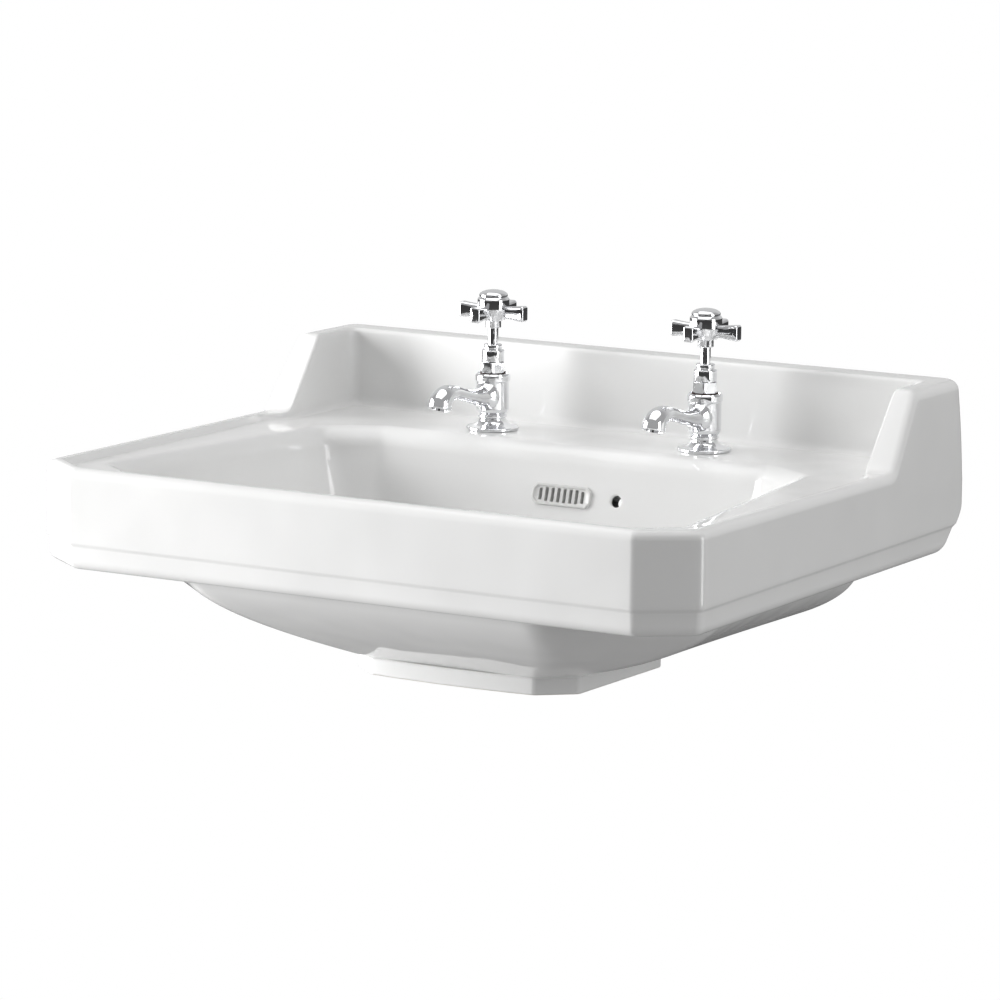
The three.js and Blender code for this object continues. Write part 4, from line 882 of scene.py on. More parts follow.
def tap_profile():
    sealed, pocket = SEAL_POCKET
    flare = [(NECK_RADIUS + 9.5 * (1 - s), 3.1 + 6.6 * (1 - c)) for s, c in quarter(10)]
    outside = [
        (TAIL_BORE, -TAIL_LENGTH), (TAIL_RADIUS - 0.8, -TAIL_LENGTH, 0.3),
        *thread(TAIL_RADIUS, 0.75, THREAD_PITCH, -TAIL_LENGTH + 0.8, -1.5),
        (TAIL_RADIUS, 0), (TAIL_RADIUS, pocket), (sealed, pocket), (sealed, GAP),
        (FLANGE_RADIUS, GAP, 0.5), (FLANGE_RADIUS, 2.6, 0.9), *flare,
        (NECK_RADIUS, 10.1, 0.3), (NECK_RADIUS + 1.1, 10.5, 0.5), (NECK_RADIUS + 1.1, 12, 0.5),
        (NECK_RADIUS + 0.1, 12.4, 0.4), (NECK_RADIUS + 0.2, 12.8), (BARREL_RADIUS - 0.9, 15, 2),
        (BARREL_RADIUS, 17.5, 4), (BARREL_RADIUS, BODY_TOP - 6.9, 0.6), (BEAD_RADIUS, BODY_TOP - 6.1, 1.2),
        (BEAD_RADIUS, BODY_TOP - 1.4, 1.9), (BARREL_RADIUS - 0.4, BODY_TOP, 0.4),
    ]
    wide, low = WASHER_POCKET
    inside = [
        (wide, BODY_TOP), (wide, low), (CHAMBER_RADIUS, low), (CHAMBER_RADIUS, SEAT_HEIGHT - 2),
        (SEAT_HOLE + 2, SEAT_HEIGHT - 2), (SEAT_HOLE + 1.4, SEAT_HEIGHT), (SEAT_HOLE, SEAT_HEIGHT),
        (SEAT_HOLE, SEAT_HEIGHT - 4), (TAIL_BORE, SEAT_HEIGHT - 6), (TAIL_BORE, -TAIL_LENGTH),
    ]
    return softened(outside) + inside


def tap_casting():
    body = turned("hot_pillar", tap_profile(), TAP, 96)
    pipe = cut(spout(), [rod(CHAMBER_RADIUS, SEAT_HEIGHT - 2, WASHER_POCKET[1], TAP)])
    cut(body, [pipe], "UNION")
    return smooth(tidy_faces(cut(body, [spout_bore()])), 30)


GRIP_CORNERS = 21.6
GRIP_TURN = 28
GRIP_TOP = 56.6
BONNET_NECK = (7.1, 64)
PACKING_RADIUS = 6.1
PACKING_DEPTH = 4.4
GLAND_RADIUS = 9.5
GLAND_TOP = 71
COLLAR_RADIUS = 7.7
STEM_RADIUS = 4.15
STEM_GAP = 0.3
SPINDLE_THREAD = 5.5


def bonnet_grip():
    """The head's hexagon with the neck that carries the gland nut and the thread below it."""
    flats = GRIP_CORNERS * math.cos(math.pi / 6)
    bore = SPINDLE_THREAD + STEM_GAP
    grip = hexagon_piece("hot_bonnet_grip", flats, BODY_TOP + GAP, GRIP_TOP, bore, TAP, GRIP_TURN + 30)
    radius, top = BONNET_NECK
    foot = BODY_TOP - 13
    shank, hole = CHAMBER_RADIUS - 1, STEM_RADIUS + STEM_GAP
    pocket = top - PACKING_DEPTH
    profile = softened([
        (bore, foot), (CHAMBER_RADIUS - 0.8, foot, 0.3),
        *thread(CHAMBER_RADIUS - GAP, 0.6, 1.3, foot + 0.6, BODY_TOP - 2),
        (shank, BODY_TOP + GAP + 1), (shank, GRIP_TOP - 1), (radius, GRIP_TOP - 1), (radius, top, 0.4),
        (PACKING_RADIUS, top), (PACKING_RADIUS, pocket), (hole, pocket), (hole, pocket - 1),
        (bore, pocket - 2), (bore, foot)])
    neck = turned("neck", profile, TAP)
    return smooth(tidy_faces(cut(grip, [neck], "UNION")), 30)


def gland_cap():
    foot, web = GRIP_TOP + GAP, BONNET_NECK[1] + GAP
    hole, wide = STEM_RADIUS + STEM_GAP, BONNET_NECK[0] + GAP
    profile = softened([
        (wide, foot), (GLAND_RADIUS, foot, 0.4), (GLAND_RADIUS, 66.2, 1), (COLLAR_RADIUS - 0.5, 66.5, 0.5),
        (COLLAR_RADIUS - 0.5, 67.3, 0.3), (COLLAR_RADIUS, 67.7, 0.3), (COLLAR_RADIUS, GLAND_TOP, 0.9),
        (hole, GLAND_TOP, 0.3), (hole, web), (wide, web), (wide, foot)])
    return smooth(turned("hot_gland_cap", profile, TAP, 80), 30)


SPINDLE_FOOT = 24.8
SPINDLE_TOP = 101
OPENING_RISE = 3.75
THREAD_TOP = BONNET_NECK[1] - PACKING_DEPTH - 3 - OPENING_RISE
JUMPER_HOLE = 2.3
JUMPER_HOLE_TOP = 32.5
SCREW_HOLE = 1.95
SQUARE_FOOT = 88.6
SQUARE = 6


def square_bar(half, low, high):
    x, y, z = TAP
    return block("square", (x - half, y - half, z + low), (x + half, y + half, z + high))


def spindle_stem():
    profile = softened([
        (JUMPER_HOLE, SPINDLE_FOOT), (SPINDLE_THREAD - 0.5, SPINDLE_FOOT, 0.2),
        *thread(SPINDLE_THREAD, 0.5, 2, SPINDLE_FOOT + 0.5, THREAD_TOP - 0.4),
        (SPINDLE_THREAD - 0.6, THREAD_TOP),
        (STEM_RADIUS, THREAD_TOP + 1), (STEM_RADIUS, SQUARE_FOOT), (0, SQUARE_FOOT)])
    stem = turned("hot_spindle_stem", [(0, JUMPER_HOLE_TOP), (JUMPER_HOLE, JUMPER_HOLE_TOP)] + profile,
                  TAP)
    square = square_bar(SQUARE / 2, SQUARE_FOOT - 1, SPINDLE_TOP)
    tapped = rod(SCREW_HOLE, 92.4, SPINDLE_TOP + 1, TAP, 24)
    return smooth(tidy_faces(cut(cut(stem, [square], "UNION"), [tapped])), 30)


HANDLE_FOOT = 84.6
HUB_FOOT = 91.2
HUB_TOP = 110.6
HUB_RADIUS = 13.1
ARM_REACH = 30.6
ARM_MIDDLE = 98
ARM_HALF = ((3.2, 4.75), (4.5, 6.5))
ARM_ROUND = 2.3
ARM_TIP = 1.5


def arm_level(reach, wide, tall, soft):
    corners = [(sx * wide, sy * tall, soft) for sx, sy in ((-1, -1), (1, -1), (1, 1), (-1, 1))]
    return [[reach, a, ARM_MIDDLE + b] for a, b in closed_outline(corners, 6)]


def handle_arm(turn):
    start, levels = 5, []
    (thin, low), (thick, high) = ARM_HALF
    for k in range(15):
        share = k / 14
        reach = lerp(start, ARM_REACH - ARM_TIP, share)
        flare = share ** 1.7
        levels.append(arm_level(reach, lerp(thin, thick, flare), lerp(low, high, flare), ARM_ROUND))
    for s, c in quarter(6)[1:]:
        less = ARM_TIP * (1 - c)
        levels.append(arm_level(ARM_REACH - ARM_TIP * (1 - s), thick - less, high - less, ARM_ROUND - less))
    arm = ring_piece("arm", levels)
    return moved(arm, TAP, Matrix.Rotation(turn, 4, "Z"))


def cross_handle():
    profile = softened([
        (0, HANDLE_FOOT), (6.4, HANDLE_FOOT, 0.6), (6.4, HUB_FOOT - 0.6, 0.5), (9.2, HUB_FOOT, 0.8),
        (HUB_RADIUS - 1.6, HUB_FOOT + 4, 3), (HUB_RADIUS, HUB_FOOT + 9, 5), (HUB_RADIUS, HUB_TOP - 2.2, 1.4),
        (HUB_RADIUS - 1.6, HUB_TOP, 0.8), (0, HUB_TOP)])
    hub = turned("hot_cross_handle", profile, TAP, 96)
    cut(hub, [handle_arm(k * QUARTER) for k in range(4)], "UNION")
    holes = [square_bar(SQUARE / 2 + GAP, SQUARE_FOOT - GAP, SPINDLE_TOP + GAP),
             rod(STEM_RADIUS + GAP, HANDLE_FOOT - 1, SQUARE_FOOT + GAP, TAP, 48),
             rod(SCREW_HOLE, SPINDLE_TOP, HUB_TOP, TAP, 24), rod(6.2, 103.4, HUB_TOP + 1, TAP, 48)]
    return smooth(tidy_faces(cut(hub, holes)), 30)


CAP_RADIUS = 11.7
CAP_HEIGHT = 5.3
CAP_SPIGOT = 5.95


def dome_cap():
    base = HUB_TOP + GAP
    dome = [(CAP_RADIUS * c, base + 0.9 + (CAP_HEIGHT - 0.9) * s) for s, c in quarter(14)]
    profile = [(0, base - 3), (CAP_SPIGOT, base - 3), (CAP_SPIGOT, base), (CAP_RADIUS - 0.3, base),
               (CAP_RADIUS, base + 0.3)]
    return smooth(turned("hot_dome_cap", profile + dome, TAP, 80), 30)


# ---- Waste and plug ----
WASTE = (0, WASTE_Y, 0)
WASTE_SEAT = BOWL_FLOOR - WASTE_SEAT_SINK
WASTE_FLANGE = (31.5, WASTE_SEAT + 2.9, 2.2)
WASTE_TUBE = 20.9
WASTE_BORE = 17.6
WASTE_END = -183
GUIDE_TOP = WASTE_FLANGE[1] - 12
GUIDE_HEIGHT = 9
GUIDE_HUB = 7
PLUG_RADIUS = 27
PLUG_FOOT = WASTE_FLANGE[1] + 2.2 + 2.25
PLUG_STEM = 4
NUT_TOP = BOSS_BOTTOM - 2.9


def waste_fitting():
    radius, low, thick = WASTE_FLANGE
    profile = softened([
        (WASTE_BORE, WASTE_END), (WASTE_TUBE - 0.8, WASTE_END, 0.3),
        *thread(WASTE_TUBE, 0.8, 2.31, WASTE_END + 0.8, low - 14), (WASTE_TUBE - 0.8, low - 12),
        (WASTE_TUBE, low - 11), (WASTE_TUBE, low), (radius, low, 0.3), (radius, low + thick, 1.5),
        (PLUG_RADIUS - 4, low + thick - 0.6, 3), (WASTE_BORE, low - 2, 2), (WASTE_BORE, WASTE_END)])
    fitting = turned("waste_fitting", profile, WASTE, 96)
    hole, guide_foot = PLUG_STEM + 0.3, GUIDE_TOP - GUIDE_HEIGHT
    tube = [(hole, guide_foot), (GUIDE_HUB, guide_foot), (GUIDE_HUB, GUIDE_TOP), (hole, GUIDE_TOP)]
    hub = turned("hub", tube + tube[:1], WASTE, 48)
    spokes = [block("spoke", (-1.7, 5.3, guide_foot), (1.7, WASTE_BORE + 1, GUIDE_TOP)) for _ in range(4)]
    slots = [block("slot", (-5, WASTE_BORE - 3, GUIDE_TOP - 20), (5, WASTE_TUBE + 3, GUIDE_TOP - 9))
             for _ in range(4)]
    for k, (spoke, slot) in enumerate(zip(spokes, slots)):
        moved(spoke, WASTE, Matrix.Rotation((k + 0.5) * QUARTER, 4, "Z"))
        moved(slot, WASTE, Matrix.Rotation(k * QUARTER, 4, "Z"))
    return smooth(tidy_faces(cut(cut(fitting, [hub, *spokes], "UNION"), slots)), 30)


def plug_dome():
    top = [((PLUG_RADIUS - 1) * c, PLUG_FOOT + 3 + 2.6 * s) for s, c in quarter(12)]
    profile = softened([(0, PLUG_FOOT + 3), (PLUG_STEM + GAP, PLUG_FOOT + 3), (PLUG_STEM + GAP, PLUG_FOOT),
                        (PLUG_RADIUS, PLUG_FOOT, 0.7), (PLUG_RADIUS, PLUG_FOOT + 2.8, 0.8), top[0]])
    return smooth(turned("plug_dome", profile + top[1:], WASTE, 96), 30)


def plug_spigot():
    foot, top = GUIDE_TOP - GUIDE_HEIGHT - 9.2, PLUG_FOOT + 3 - GAP
    profile = softened([(0, foot - 3), (6, foot - 3, 0.6), (6, foot, 0.6), (PLUG_STEM, foot),
                        (PLUG_STEM, top), (0, top)])
    return smooth(turned("plug_spigot", profile, WASTE, 48), 30)


def seal_ring(name, hole, radius, low, high, place, soft=0.4, sides=80):
    """A washer or seal with softened outer edges."""
    profile = softened([(hole, low), (radius, low, soft), (radius, high, soft), (hole, high), (hole, low)])
    return smooth(turned(name, profile, place, sides), 30)


# ---- Shader groups shared by the finishes ----
def link(tree, source, target):
    tree.links.new(source, target)


def add_node(tree, kind, settings=None, **inputs):
    """Adds a node. Settings are its own properties, keywords are its inputs' values."""
    node = tree.nodes.new(kind)
    for name, value in (settings or {}).items():
        setattr(node, name, value)
    for name, value in inputs.items():
        node.inputs[name.replace("_", " ")].default_value = value
    return node


def new_group(name, inputs, output):
    tree = bpy.data.node_groups.new(name, "ShaderNodeTree")
    for label, default in inputs.items():
        socket = tree.interface.new_socket(name=label, in_out="INPUT", socket_type="NodeSocketFloat")
        socket.default_value = default
    tree.interface.new_socket(name=output, in_out="OUTPUT", socket_type="NodeSocketFloat")
    return tree, tree.nodes.new("NodeGroupInput"), tree.nodes.new("NodeGroupOutput")


def mottle_group():
    """Soft clouds between two values, for pooled glaze, wiped metal and dull patches."""
    tree, given, out = new_group("mottle", {"Scale": 20, "Detail": 3, "Low": 0, "High": 1}, "Value")
    place = tree.nodes.new("ShaderNodeTexCoord")
    noise = tree.nodes.new("ShaderNodeTexNoise")
    ramp = add_node(tree, "ShaderNodeMapRange", {"interpolation_type": "SMOOTHSTEP"}, From_Min=0.3,
                    From_Max=0.7)
    link(tree, place.outputs["Object"], noise.inputs["Vector"])
    link(tree, given.outputs["Scale"], noise.inputs["Scale"])
    link(tree, given.outputs["Detail"], noise.inputs["Detail"])
    link(tree, noise.outputs["Fac"], ramp.inputs["Value"])
    link(tree, given.outputs["Low"], ramp.inputs["To Min"])
    link(tree, given.outputs["High"], ramp.inputs["To Max"])
    link(tree, ramp.outputs["Result"], out.inputs["Value"])
    return tree


def flecks_group():
    """Sparse round spots, for pinholes, water marks and casting pits."""
    tree, given, out = new_group("flecks", {"Scale": 200, "Size": 0.1, "Share": 0.2}, "Mask")
    place = tree.nodes.new("ShaderNodeTexCoord")
    cells = tree.nodes.new("ShaderNodeTexVoronoi")
    spot = add_node(tree, "ShaderNodeMapRange", {"interpolation_type": "SMOOTHSTEP"}, To_Min=1, To_Max=0)
    chosen = add_node(tree, "ShaderNodeMath", {"operation": "LESS_THAN"})
    both = add_node(tree, "ShaderNodeMath", {"operation": "MULTIPLY"})
    parts = tree.nodes.new("ShaderNodeSeparateColor")
    link(tree, place.outputs["Object"], cells.inputs["Vector"])
    link(tree, given.outputs["Scale"], cells.inputs["Scale"])
    link(tree, cells.outputs["Distance"], spot.inputs["Value"])
    link(tree, given.outputs["Size"], spot.inputs["From Max"])
    link(tree, cells.outputs["Color"], parts.inputs["Color"])
    link(tree, parts.outputs["Red"], chosen.inputs[0])
    link(tree, given.outputs["Share"], chosen.inputs[1])
    link(tree, spot.outputs["Result"], both.inputs[0])
    link(tree, chosen.outputs["Value"], both.inputs[1])
    link(tree, both.outputs["Value"], out.inputs["Mask"])
    return tree


def ripple_group():
    """Fine level lines with a little wander, for turned metal, moulded rings and wound packing."""
    tree, given, out = new_group("ripple", {"Scale": 900, "Wander": 1.5, "Slant": 0}, "Height")
    place = tree.nodes.new("ShaderNodeTexCoord")
    turn = add_node(tree, "ShaderNodeMapping", {"vector_type": "POINT"})
    angle = tree.nodes.new("ShaderNodeCombineXYZ")
    lines = add_node(tree, "ShaderNodeTexWave", {"bands_direction": "Z"}, Detail=2.0)
    link(tree, place.outputs["Object"], turn.inputs["Vector"])
    link(tree, given.outputs["Slant"], angle.inputs["X"])
    link(tree, angle.outputs["Vector"], turn.inputs["Rotation"])
    link(tree, turn.outputs["Vector"], lines.inputs["Vector"])
    link(tree, given.outputs["Scale"], lines.inputs["Scale"])
    link(tree, given.outputs["Wander"], lines.inputs["Distortion"])
    link(tree, lines.outputs["Fac"], out.inputs["Height"])
    return tree


GROUPS = {"mottle": mottle_group, "flecks": flecks_group, "ripple": ripple_group}


def effect(tree, name, **values):
    """Places a shared group in a material with its own values, and gives its output."""
    node = tree.nodes.new("ShaderNodeGroup")
    node.node_tree = bpy.data.node_groups.get(name) or GROUPS[name]()
    for label, value in values.items():
        node.inputs[label].default_value = value
    return node.outputs[0]


# ---- Finishes ----
def start_finish(name, metallic=0.0, ior=1.5, **settings):
    material = bpy.data.materials.new(name)
    material.use_nodes = True
    shader = material.node_tree.nodes["Principled BSDF"]
    shader.inputs["Metallic"].default_value = metallic
    shader.inputs["IOR"].default_value = ior
    for label, value in settings.items():
        shader.inputs[label.replace("_", " ")].default_value = value
    return material, material.node_tree, shader


def blend_colours(tree, share, first, second, target):
    """Runs the colour from one to the other as the share goes from 0 to 1."""
    mix = add_node(tree, "ShaderNodeMix", {"data_type": "RGBA"})
    for socket, colour in ((mix.inputs[6], first), (mix.inputs[7], second)):
        if isinstance(colour, bpy.types.NodeSocket):
            link(tree, colour, socket)
        else:
            socket.default_value = (*colour[:3], 1)
    link(tree, share, mix.inputs[0])
    if target:
        link(tree, mix.outputs[2], target)
    return mix.outputs[2]


def bump(tree, shader, *layers):
    """Stacks (height, depth in millimetres) layers onto the shader's normal."""
    below = None
    for height, depth in layers:
        node = add_node(tree, "ShaderNodeBump", Distance=depth * MM)
        link(tree, height, node.inputs["Height"])
        if below:
            link(tree, below, node.inputs["Normal"])
        below = node.outputs["Normal"]
    link(tree, below, shader.inputs["Normal"])


def below_mask(tree, height, softness=1.0):
    """1 below a height in millimetres and 0 above it."""
    place = tree.nodes.new("ShaderNodeTexCoord")
    axes = tree.nodes.new("ShaderNodeSeparateXYZ")
    ramp = add_node(tree, "ShaderNodeMapRange", From_Min=(height - softness) * MM,
                    From_Max=(height + softness) * MM, To_Min=1.0, To_Max=0.0)
    link(tree, place.outputs["Object"], axes.inputs["Vector"])
    link(tree, axes.outputs["Z"], ramp.inputs["Value"])
    return ramp.outputs["Result"]


# Reach of the painted shade round the overflow and the chain hole, in millimetres
PAINTED_SHADE_DEPTH = (-3.4, -1.6)
PAINTED_SHADE_ACROSS = (56, 57)
PAINTED_SHADE_UP = (12, 13)
PAINTED_SHADE_REACH = (28, 29)


def overflow_painted_shade_mask(tree):
    """1 inside the china behind the bowl's back wall, round the overflow and the chain hole: where painted
    shade darkens the holes.
    """
    place = tree.nodes.new("ShaderNodeTexCoord")
    onto = add_node(tree, "ShaderNodeMapping", {"vector_type": "TEXTURE"},
                    Location=[value * MM for value in (0, *OVERFLOW_PLACE)],
                    Rotation=(QUARTER - OVERFLOW_LEAN, 0, 0))
    inside = add_node(tree, "ShaderNodeVectorMath", {"operation": "ABSOLUTE"})
    axes, flat_axes = (tree.nodes.new("ShaderNodeSeparateXYZ") for _ in range(2))
    link(tree, place.outputs["Object"], onto.inputs["Vector"])
    link(tree, onto.outputs["Vector"], axes.inputs["Vector"])
    link(tree, onto.outputs["Vector"], inside.inputs[0])
    link(tree, inside.outputs["Vector"], flat_axes.inputs["Vector"])
    sides = [(axes.outputs["Z"], *PAINTED_SHADE_DEPTH), (flat_axes.outputs["X"], *PAINTED_SHADE_ACROSS),
             (flat_axes.outputs["Y"], *PAINTED_SHADE_UP), (flat_axes.outputs["Z"], *PAINTED_SHADE_REACH)]
    mask = None
    for value, start, end in sides:
        ramp = add_node(tree, "ShaderNodeMapRange", From_Min=start * MM, From_Max=end * MM, To_Min=1.0,
                        To_Max=0.0)
        link(tree, value, ramp.inputs["Value"])
        both = add_node(tree, "ShaderNodeMath", {"operation": "MULTIPLY"})
        both.inputs[1].default_value = 1.0
        link(tree, ramp.outputs["Result"], both.inputs[0])
        if mask:
            link(tree, mask, both.inputs[1])
        mask = both.outputs["Value"]
    return mask


def china_finish(look):
    """Fired glaze: faintly pooled, gently wavy, with a few pinholes, painted shade inside the overflow and
    chain holes and a bare clay foot.
    """
    material, tree, shader = start_finish("glazed_china", ior=1.52)
    glaze = Vector(look.glaze)
    pooled = blend_colours(tree, effect(tree, "mottle", Scale=9, Detail=2), glaze, glaze * 0.975, None)
    speck = effect(tree, "flecks", Scale=95, Size=0.045, Share=0.07)
    specked = blend_colours(tree, speck, pooled, glaze * 0.8, None)
    bare = below_mask(tree, FOOT_BOTTOM + 0.7, 0.5)
    # Painted shade: the china inside the overflow and chain holes is coloured near black in place of the
    # shade there
    glaze_with_painted_shade = blend_colours(tree, overflow_painted_shade_mask(tree), specked, (0.012, 0.012, 0.012), None)
    blend_colours(tree, bare, glaze_with_painted_shade, look.clay, shader.inputs["Base Color"])
    gloss = effect(tree, "mottle", Scale=34, Detail=4, Low=look.glaze_roughness,
                   High=look.glaze_roughness + 0.03)
    rough = add_node(tree, "ShaderNodeMix")
    link(tree, bare, rough.inputs[0])
    link(tree, gloss, rough.inputs[2])
    rough.inputs[3].default_value = 0.75
    link(tree, rough.outputs[0], shader.inputs["Roughness"])
    bump(tree, shader, (effect(tree, "mottle", Scale=14, Detail=1), 0.5),
         (effect(tree, "mottle", Scale=320, Detail=2), 0.006), (speck, -0.02))
    return material


def chrome_finish(look):
    """Bright plate with wiped patches, a few dried water spots and the faint waves of polishing."""
    material, tree, shader = start_finish("bright_chrome", metallic=1.0)
    spots = effect(tree, "flecks", Scale=260, Size=0.32, Share=0.05)
    plate = Vector(look.chrome)
    blend_colours(tree, spots, plate, plate * 0.93, shader.inputs["Base Color"])
    wiped = effect(tree, "mottle", Scale=70, Detail=4, Low=look.chrome_roughness,
                   High=look.chrome_roughness + 0.05)
    rough = add_node(tree, "ShaderNodeMath", {"operation": "MULTIPLY_ADD"})
    link(tree, spots, rough.inputs[0])
    rough.inputs[1].default_value = 0.08
    link(tree, wiped, rough.inputs[2])
    link(tree, rough.outputs[0], shader.inputs["Roughness"])
    bump(tree, shader, (effect(tree, "mottle", Scale=110, Detail=1), 0.035),
         (effect(tree, "mottle", Scale=900, Detail=3), 0.0012))
    return material


def brass_finish(look):
    """Turned brass, tarnished in patches, with tool lines and small casting pits."""
    material, tree, shader = start_finish("turned_brass", metallic=1.0)
    brass = Vector(look.brass)
    tarnish = effect(tree, "mottle", Scale=120, Detail=6)
    pits = effect(tree, "flecks", Scale=900, Size=0.25, Share=0.2)
    worn = blend_colours(tree, tarnish, brass, brass * 0.55, None)
    blend_colours(tree, pits, worn, brass * 0.35, shader.inputs["Base Color"])
    link(tree, effect(tree, "mottle", Scale=190, Detail=5, Low=0.22, High=0.42), shader.inputs["Roughness"])
    bump(tree, shader, (effect(tree, "ripple", Scale=1100, Wander=1.0), 0.01), (pits, -0.04))
    return material


def rubber_finish(look):
    """Moulded rubber, dull, with a faint bloom."""
    material, tree, shader = start_finish("black_rubber", ior=1.45)
    rubber = Vector(look.rubber)
    bloom = effect(tree, "mottle", Scale=160, Detail=6)
    blend_colours(tree, bloom, rubber, rubber * 1.9, shader.inputs["Base Color"])
    link(tree, effect(tree, "mottle", Scale=300, Detail=4, Low=0.55, High=0.75), shader.inputs["Roughness"])
    bump(tree, shader, (effect(tree, "mottle", Scale=1500, Detail=4), 0.03))
    return material


def moulded_finish(name, colour, roughness):
    """Moulded plastic: even colour, with sink marks and the fine grain of its mould."""
    material, tree, shader = start_finish(name, ior=1.49)
    tint = Vector(colour)
    clouds = effect(tree, "mottle", Scale=90, Detail=3)
    blend_colours(tree, clouds, tint, tint * 0.96, shader.inputs["Base Color"])
    link(tree, effect(tree, "mottle", Scale=240, Detail=4, Low=roughness, High=roughness + 0.1),
         shader.inputs["Roughness"])
    bump(tree, shader, (effect(tree, "mottle", Scale=140, Detail=1), 0.05),
         (effect(tree, "mottle", Scale=2600, Detail=2), 0.004))
    return material


def fibre_finish(look):
    """Pressed fibre board: mixed dark red fibres with a dry surface."""
    material, tree, shader = start_finish("red_fibre", ior=1.4)
    fibre = Vector(look.fibre)
    fibres = effect(tree, "mottle", Scale=1300, Detail=8)
    blend_colours(tree, fibres, fibre, fibre * 0.55, shader.inputs["Base Color"])
    link(tree, effect(tree, "mottle", Scale=500, Detail=3, Low=0.75, High=0.9), shader.inputs["Roughness"])
    bump(tree, shader, (effect(tree, "mottle", Scale=1800, Detail=6), 0.05))
    return material


def packing_finish(look):
    """Greased packing: strands wound round the stem on a slant."""
    material, tree, shader = start_finish("wound_packing", ior=1.45)
    strand = Vector(look.packing)
    lines = effect(tree, "ripple", Scale=260, Wander=3.0, Slant=0.5)
    blend_colours(tree, lines, strand * 0.5, strand, shader.inputs["Base Color"])
    link(tree, effect(tree, "mottle", Scale=600, Detail=4, Low=0.5, High=0.8), shader.inputs["Roughness"])
    bump(tree, shader, (lines, 0.25))
    return material


FINISHES = {
    "white_china": china_finish,
    "grille_white": lambda look: moulded_finish("grille_plastic", look.plastic, 0.16),
    "tap_chrome": chrome_finish,
    "plain_brass": brass_finish,
    "black_rubber": rubber_finish,
    "nylon": lambda look: moulded_finish("moulded_nylon", look.nylon, 0.38),
    "red_fibre": fibre_finish,
    "packing": packing_finish,
}


def finish(slot):
    """The material for a slot, made the first time it is asked for."""
    kind = "tap_chrome" if slot == "waste_chrome" else slot
    key = f"finish of {kind}"
    made = [material for material in bpy.data.materials if material.get("finish") == key]
    if not made:
        material = FINISHES[kind](bpy.context.scene.basin_look)
        material["finish"] = key
        made = [material]
    return made[0]


# ---- Joining pieces to the frame ----
def fit(piece, body, slot, *nodes):
    """Gives a piece its finish, the body it moves with and the frame nodes it stands for."""
    piece.data.materials.clear()
    piece.data.materials.append(finish(slot))
    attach(piece, body)
    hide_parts(*nodes)
    fresh()
    return piece


def fit_pair(piece, body, slot, node):
    """Fits a hot tap's piece and its copy on the cold tap."""
    twin = copied(piece, piece.name.replace("hot_", "cold_"), NEXT_TAP)
    for one, side in ((piece, "hot"), (twin, "cold")):
        fit(one, "root" if body == "root" else f"{side}_{body}", slot, f"{side}_{node}")


# ---- Sizes and colours a user would change ----
def length(label, note, millimetres):
    return bpy.props.FloatProperty(name=label, description=note, default=millimetres * MM, unit="LENGTH",
                                   precision=4)


def colour(label, note, red, green, blue):
    return bpy.props.FloatVectorProperty(name=label, description=note, default=(red, green, blue),
                                         subtype="COLOR", size=3, min=0, max=1)


def share(label, note, default):
    return bpy.props.FloatProperty(name=label, description=note, default=default, subtype="FACTOR", min=0,
                                   max=1)


def angle(label, note, degrees):
    return bpy.props.FloatProperty(name=label, description=note, default=math.radians(degrees),
                                   subtype="ANGLE")


def power(label, note, watts):
    return bpy.props.FloatProperty(name=label, description=note, default=watts, unit="POWER")


class BasinSizes(bpy.types.PropertyGroup):
    """Roundings of the china that can be changed without moving anything that fits to it."""

    edge_round: length("Outer edge", "Radius of the rim's and splashback's outer edge", 8)
    inner_edge: length("Inner edge", "Radius of the splashback's inner top edge", 4)
    splash_cove: length("Splashback cove", "Radius where the splashback meets the deck", 7)
    band_round: length("Band edge", "Radius of the lower band's bottom edge", 8.6)


class BasinLook(bpy.types.PropertyGroup):
    """Colours and gloss of the finishes."""

    glaze: colour("Glaze", "Colour of the fired glaze", 0.86, 0.86, 0.855)
    clay: colour("Clay", "Colour of the bare foot ring", 0.66, 0.61, 0.53)
    glaze_roughness: share("Glaze roughness", "Lowest roughness of the glaze", 0.03)
    chrome: colour("Chrome", "Colour of the plated metal", 0.83, 0.835, 0.85)
    chrome_roughness: share("Chrome roughness", "Lowest roughness of the plating", 0.02)
    brass: colour("Brass", "Colour of the unplated metal", 0.62, 0.43, 0.19)
    plastic: colour("Grille", "Colour of the overflow grille", 0.7, 0.7, 0.69)
    nylon: colour("Nylon", "Colour of the clamp washers", 0.66, 0.64, 0.58)
    rubber: colour("Rubber", "Colour of the seals", 0.016, 0.016, 0.017)
    fibre: colour("Fibre", "Colour of the bonnet washers", 0.07, 0.032, 0.026)
    packing: colour("Packing", "Colour of the gland packing", 0.5, 0.45, 0.36)


class BasinStage(bpy.types.PropertyGroup):
    """The floor, the lights and the camera."""

    floor_drop: length("Floor depth", "How far the floor lies below the rim", 850)
    lens: bpy.props.FloatProperty(name="Lens", description="Focal length of the camera", default=201.1,
                                  subtype="DISTANCE_CAMERA", unit="CAMERA")
    bearing: angle("Bearing", "The camera's turn to the right of the front", 30.933)
    height: angle("Elevation", "How far the camera looks down", 9.6)
    distance: length("Distance", "From the camera to the middle of the basin", 4438)
    key: power("Key light", "Power of the softbox at the left", 150)
    fill: power("Fill light", "Power of the softbox at the right", 25)
    overhead: power("Top light", "Power of the softbox overhead", 34)
    low: power("Low light", "Power of the long softbox under the key light", 38)
    sky: share("Room light", "Brightness of the room round the basin", 0.2)
    walls: share("Mirrored walls", "Brightness of the walls that the metal mirrors", 0.5)


# ---- Stage ----
CAMERA_ROLL = math.radians(0.545)
CAMERA_AIM = (0.647, -33.05)


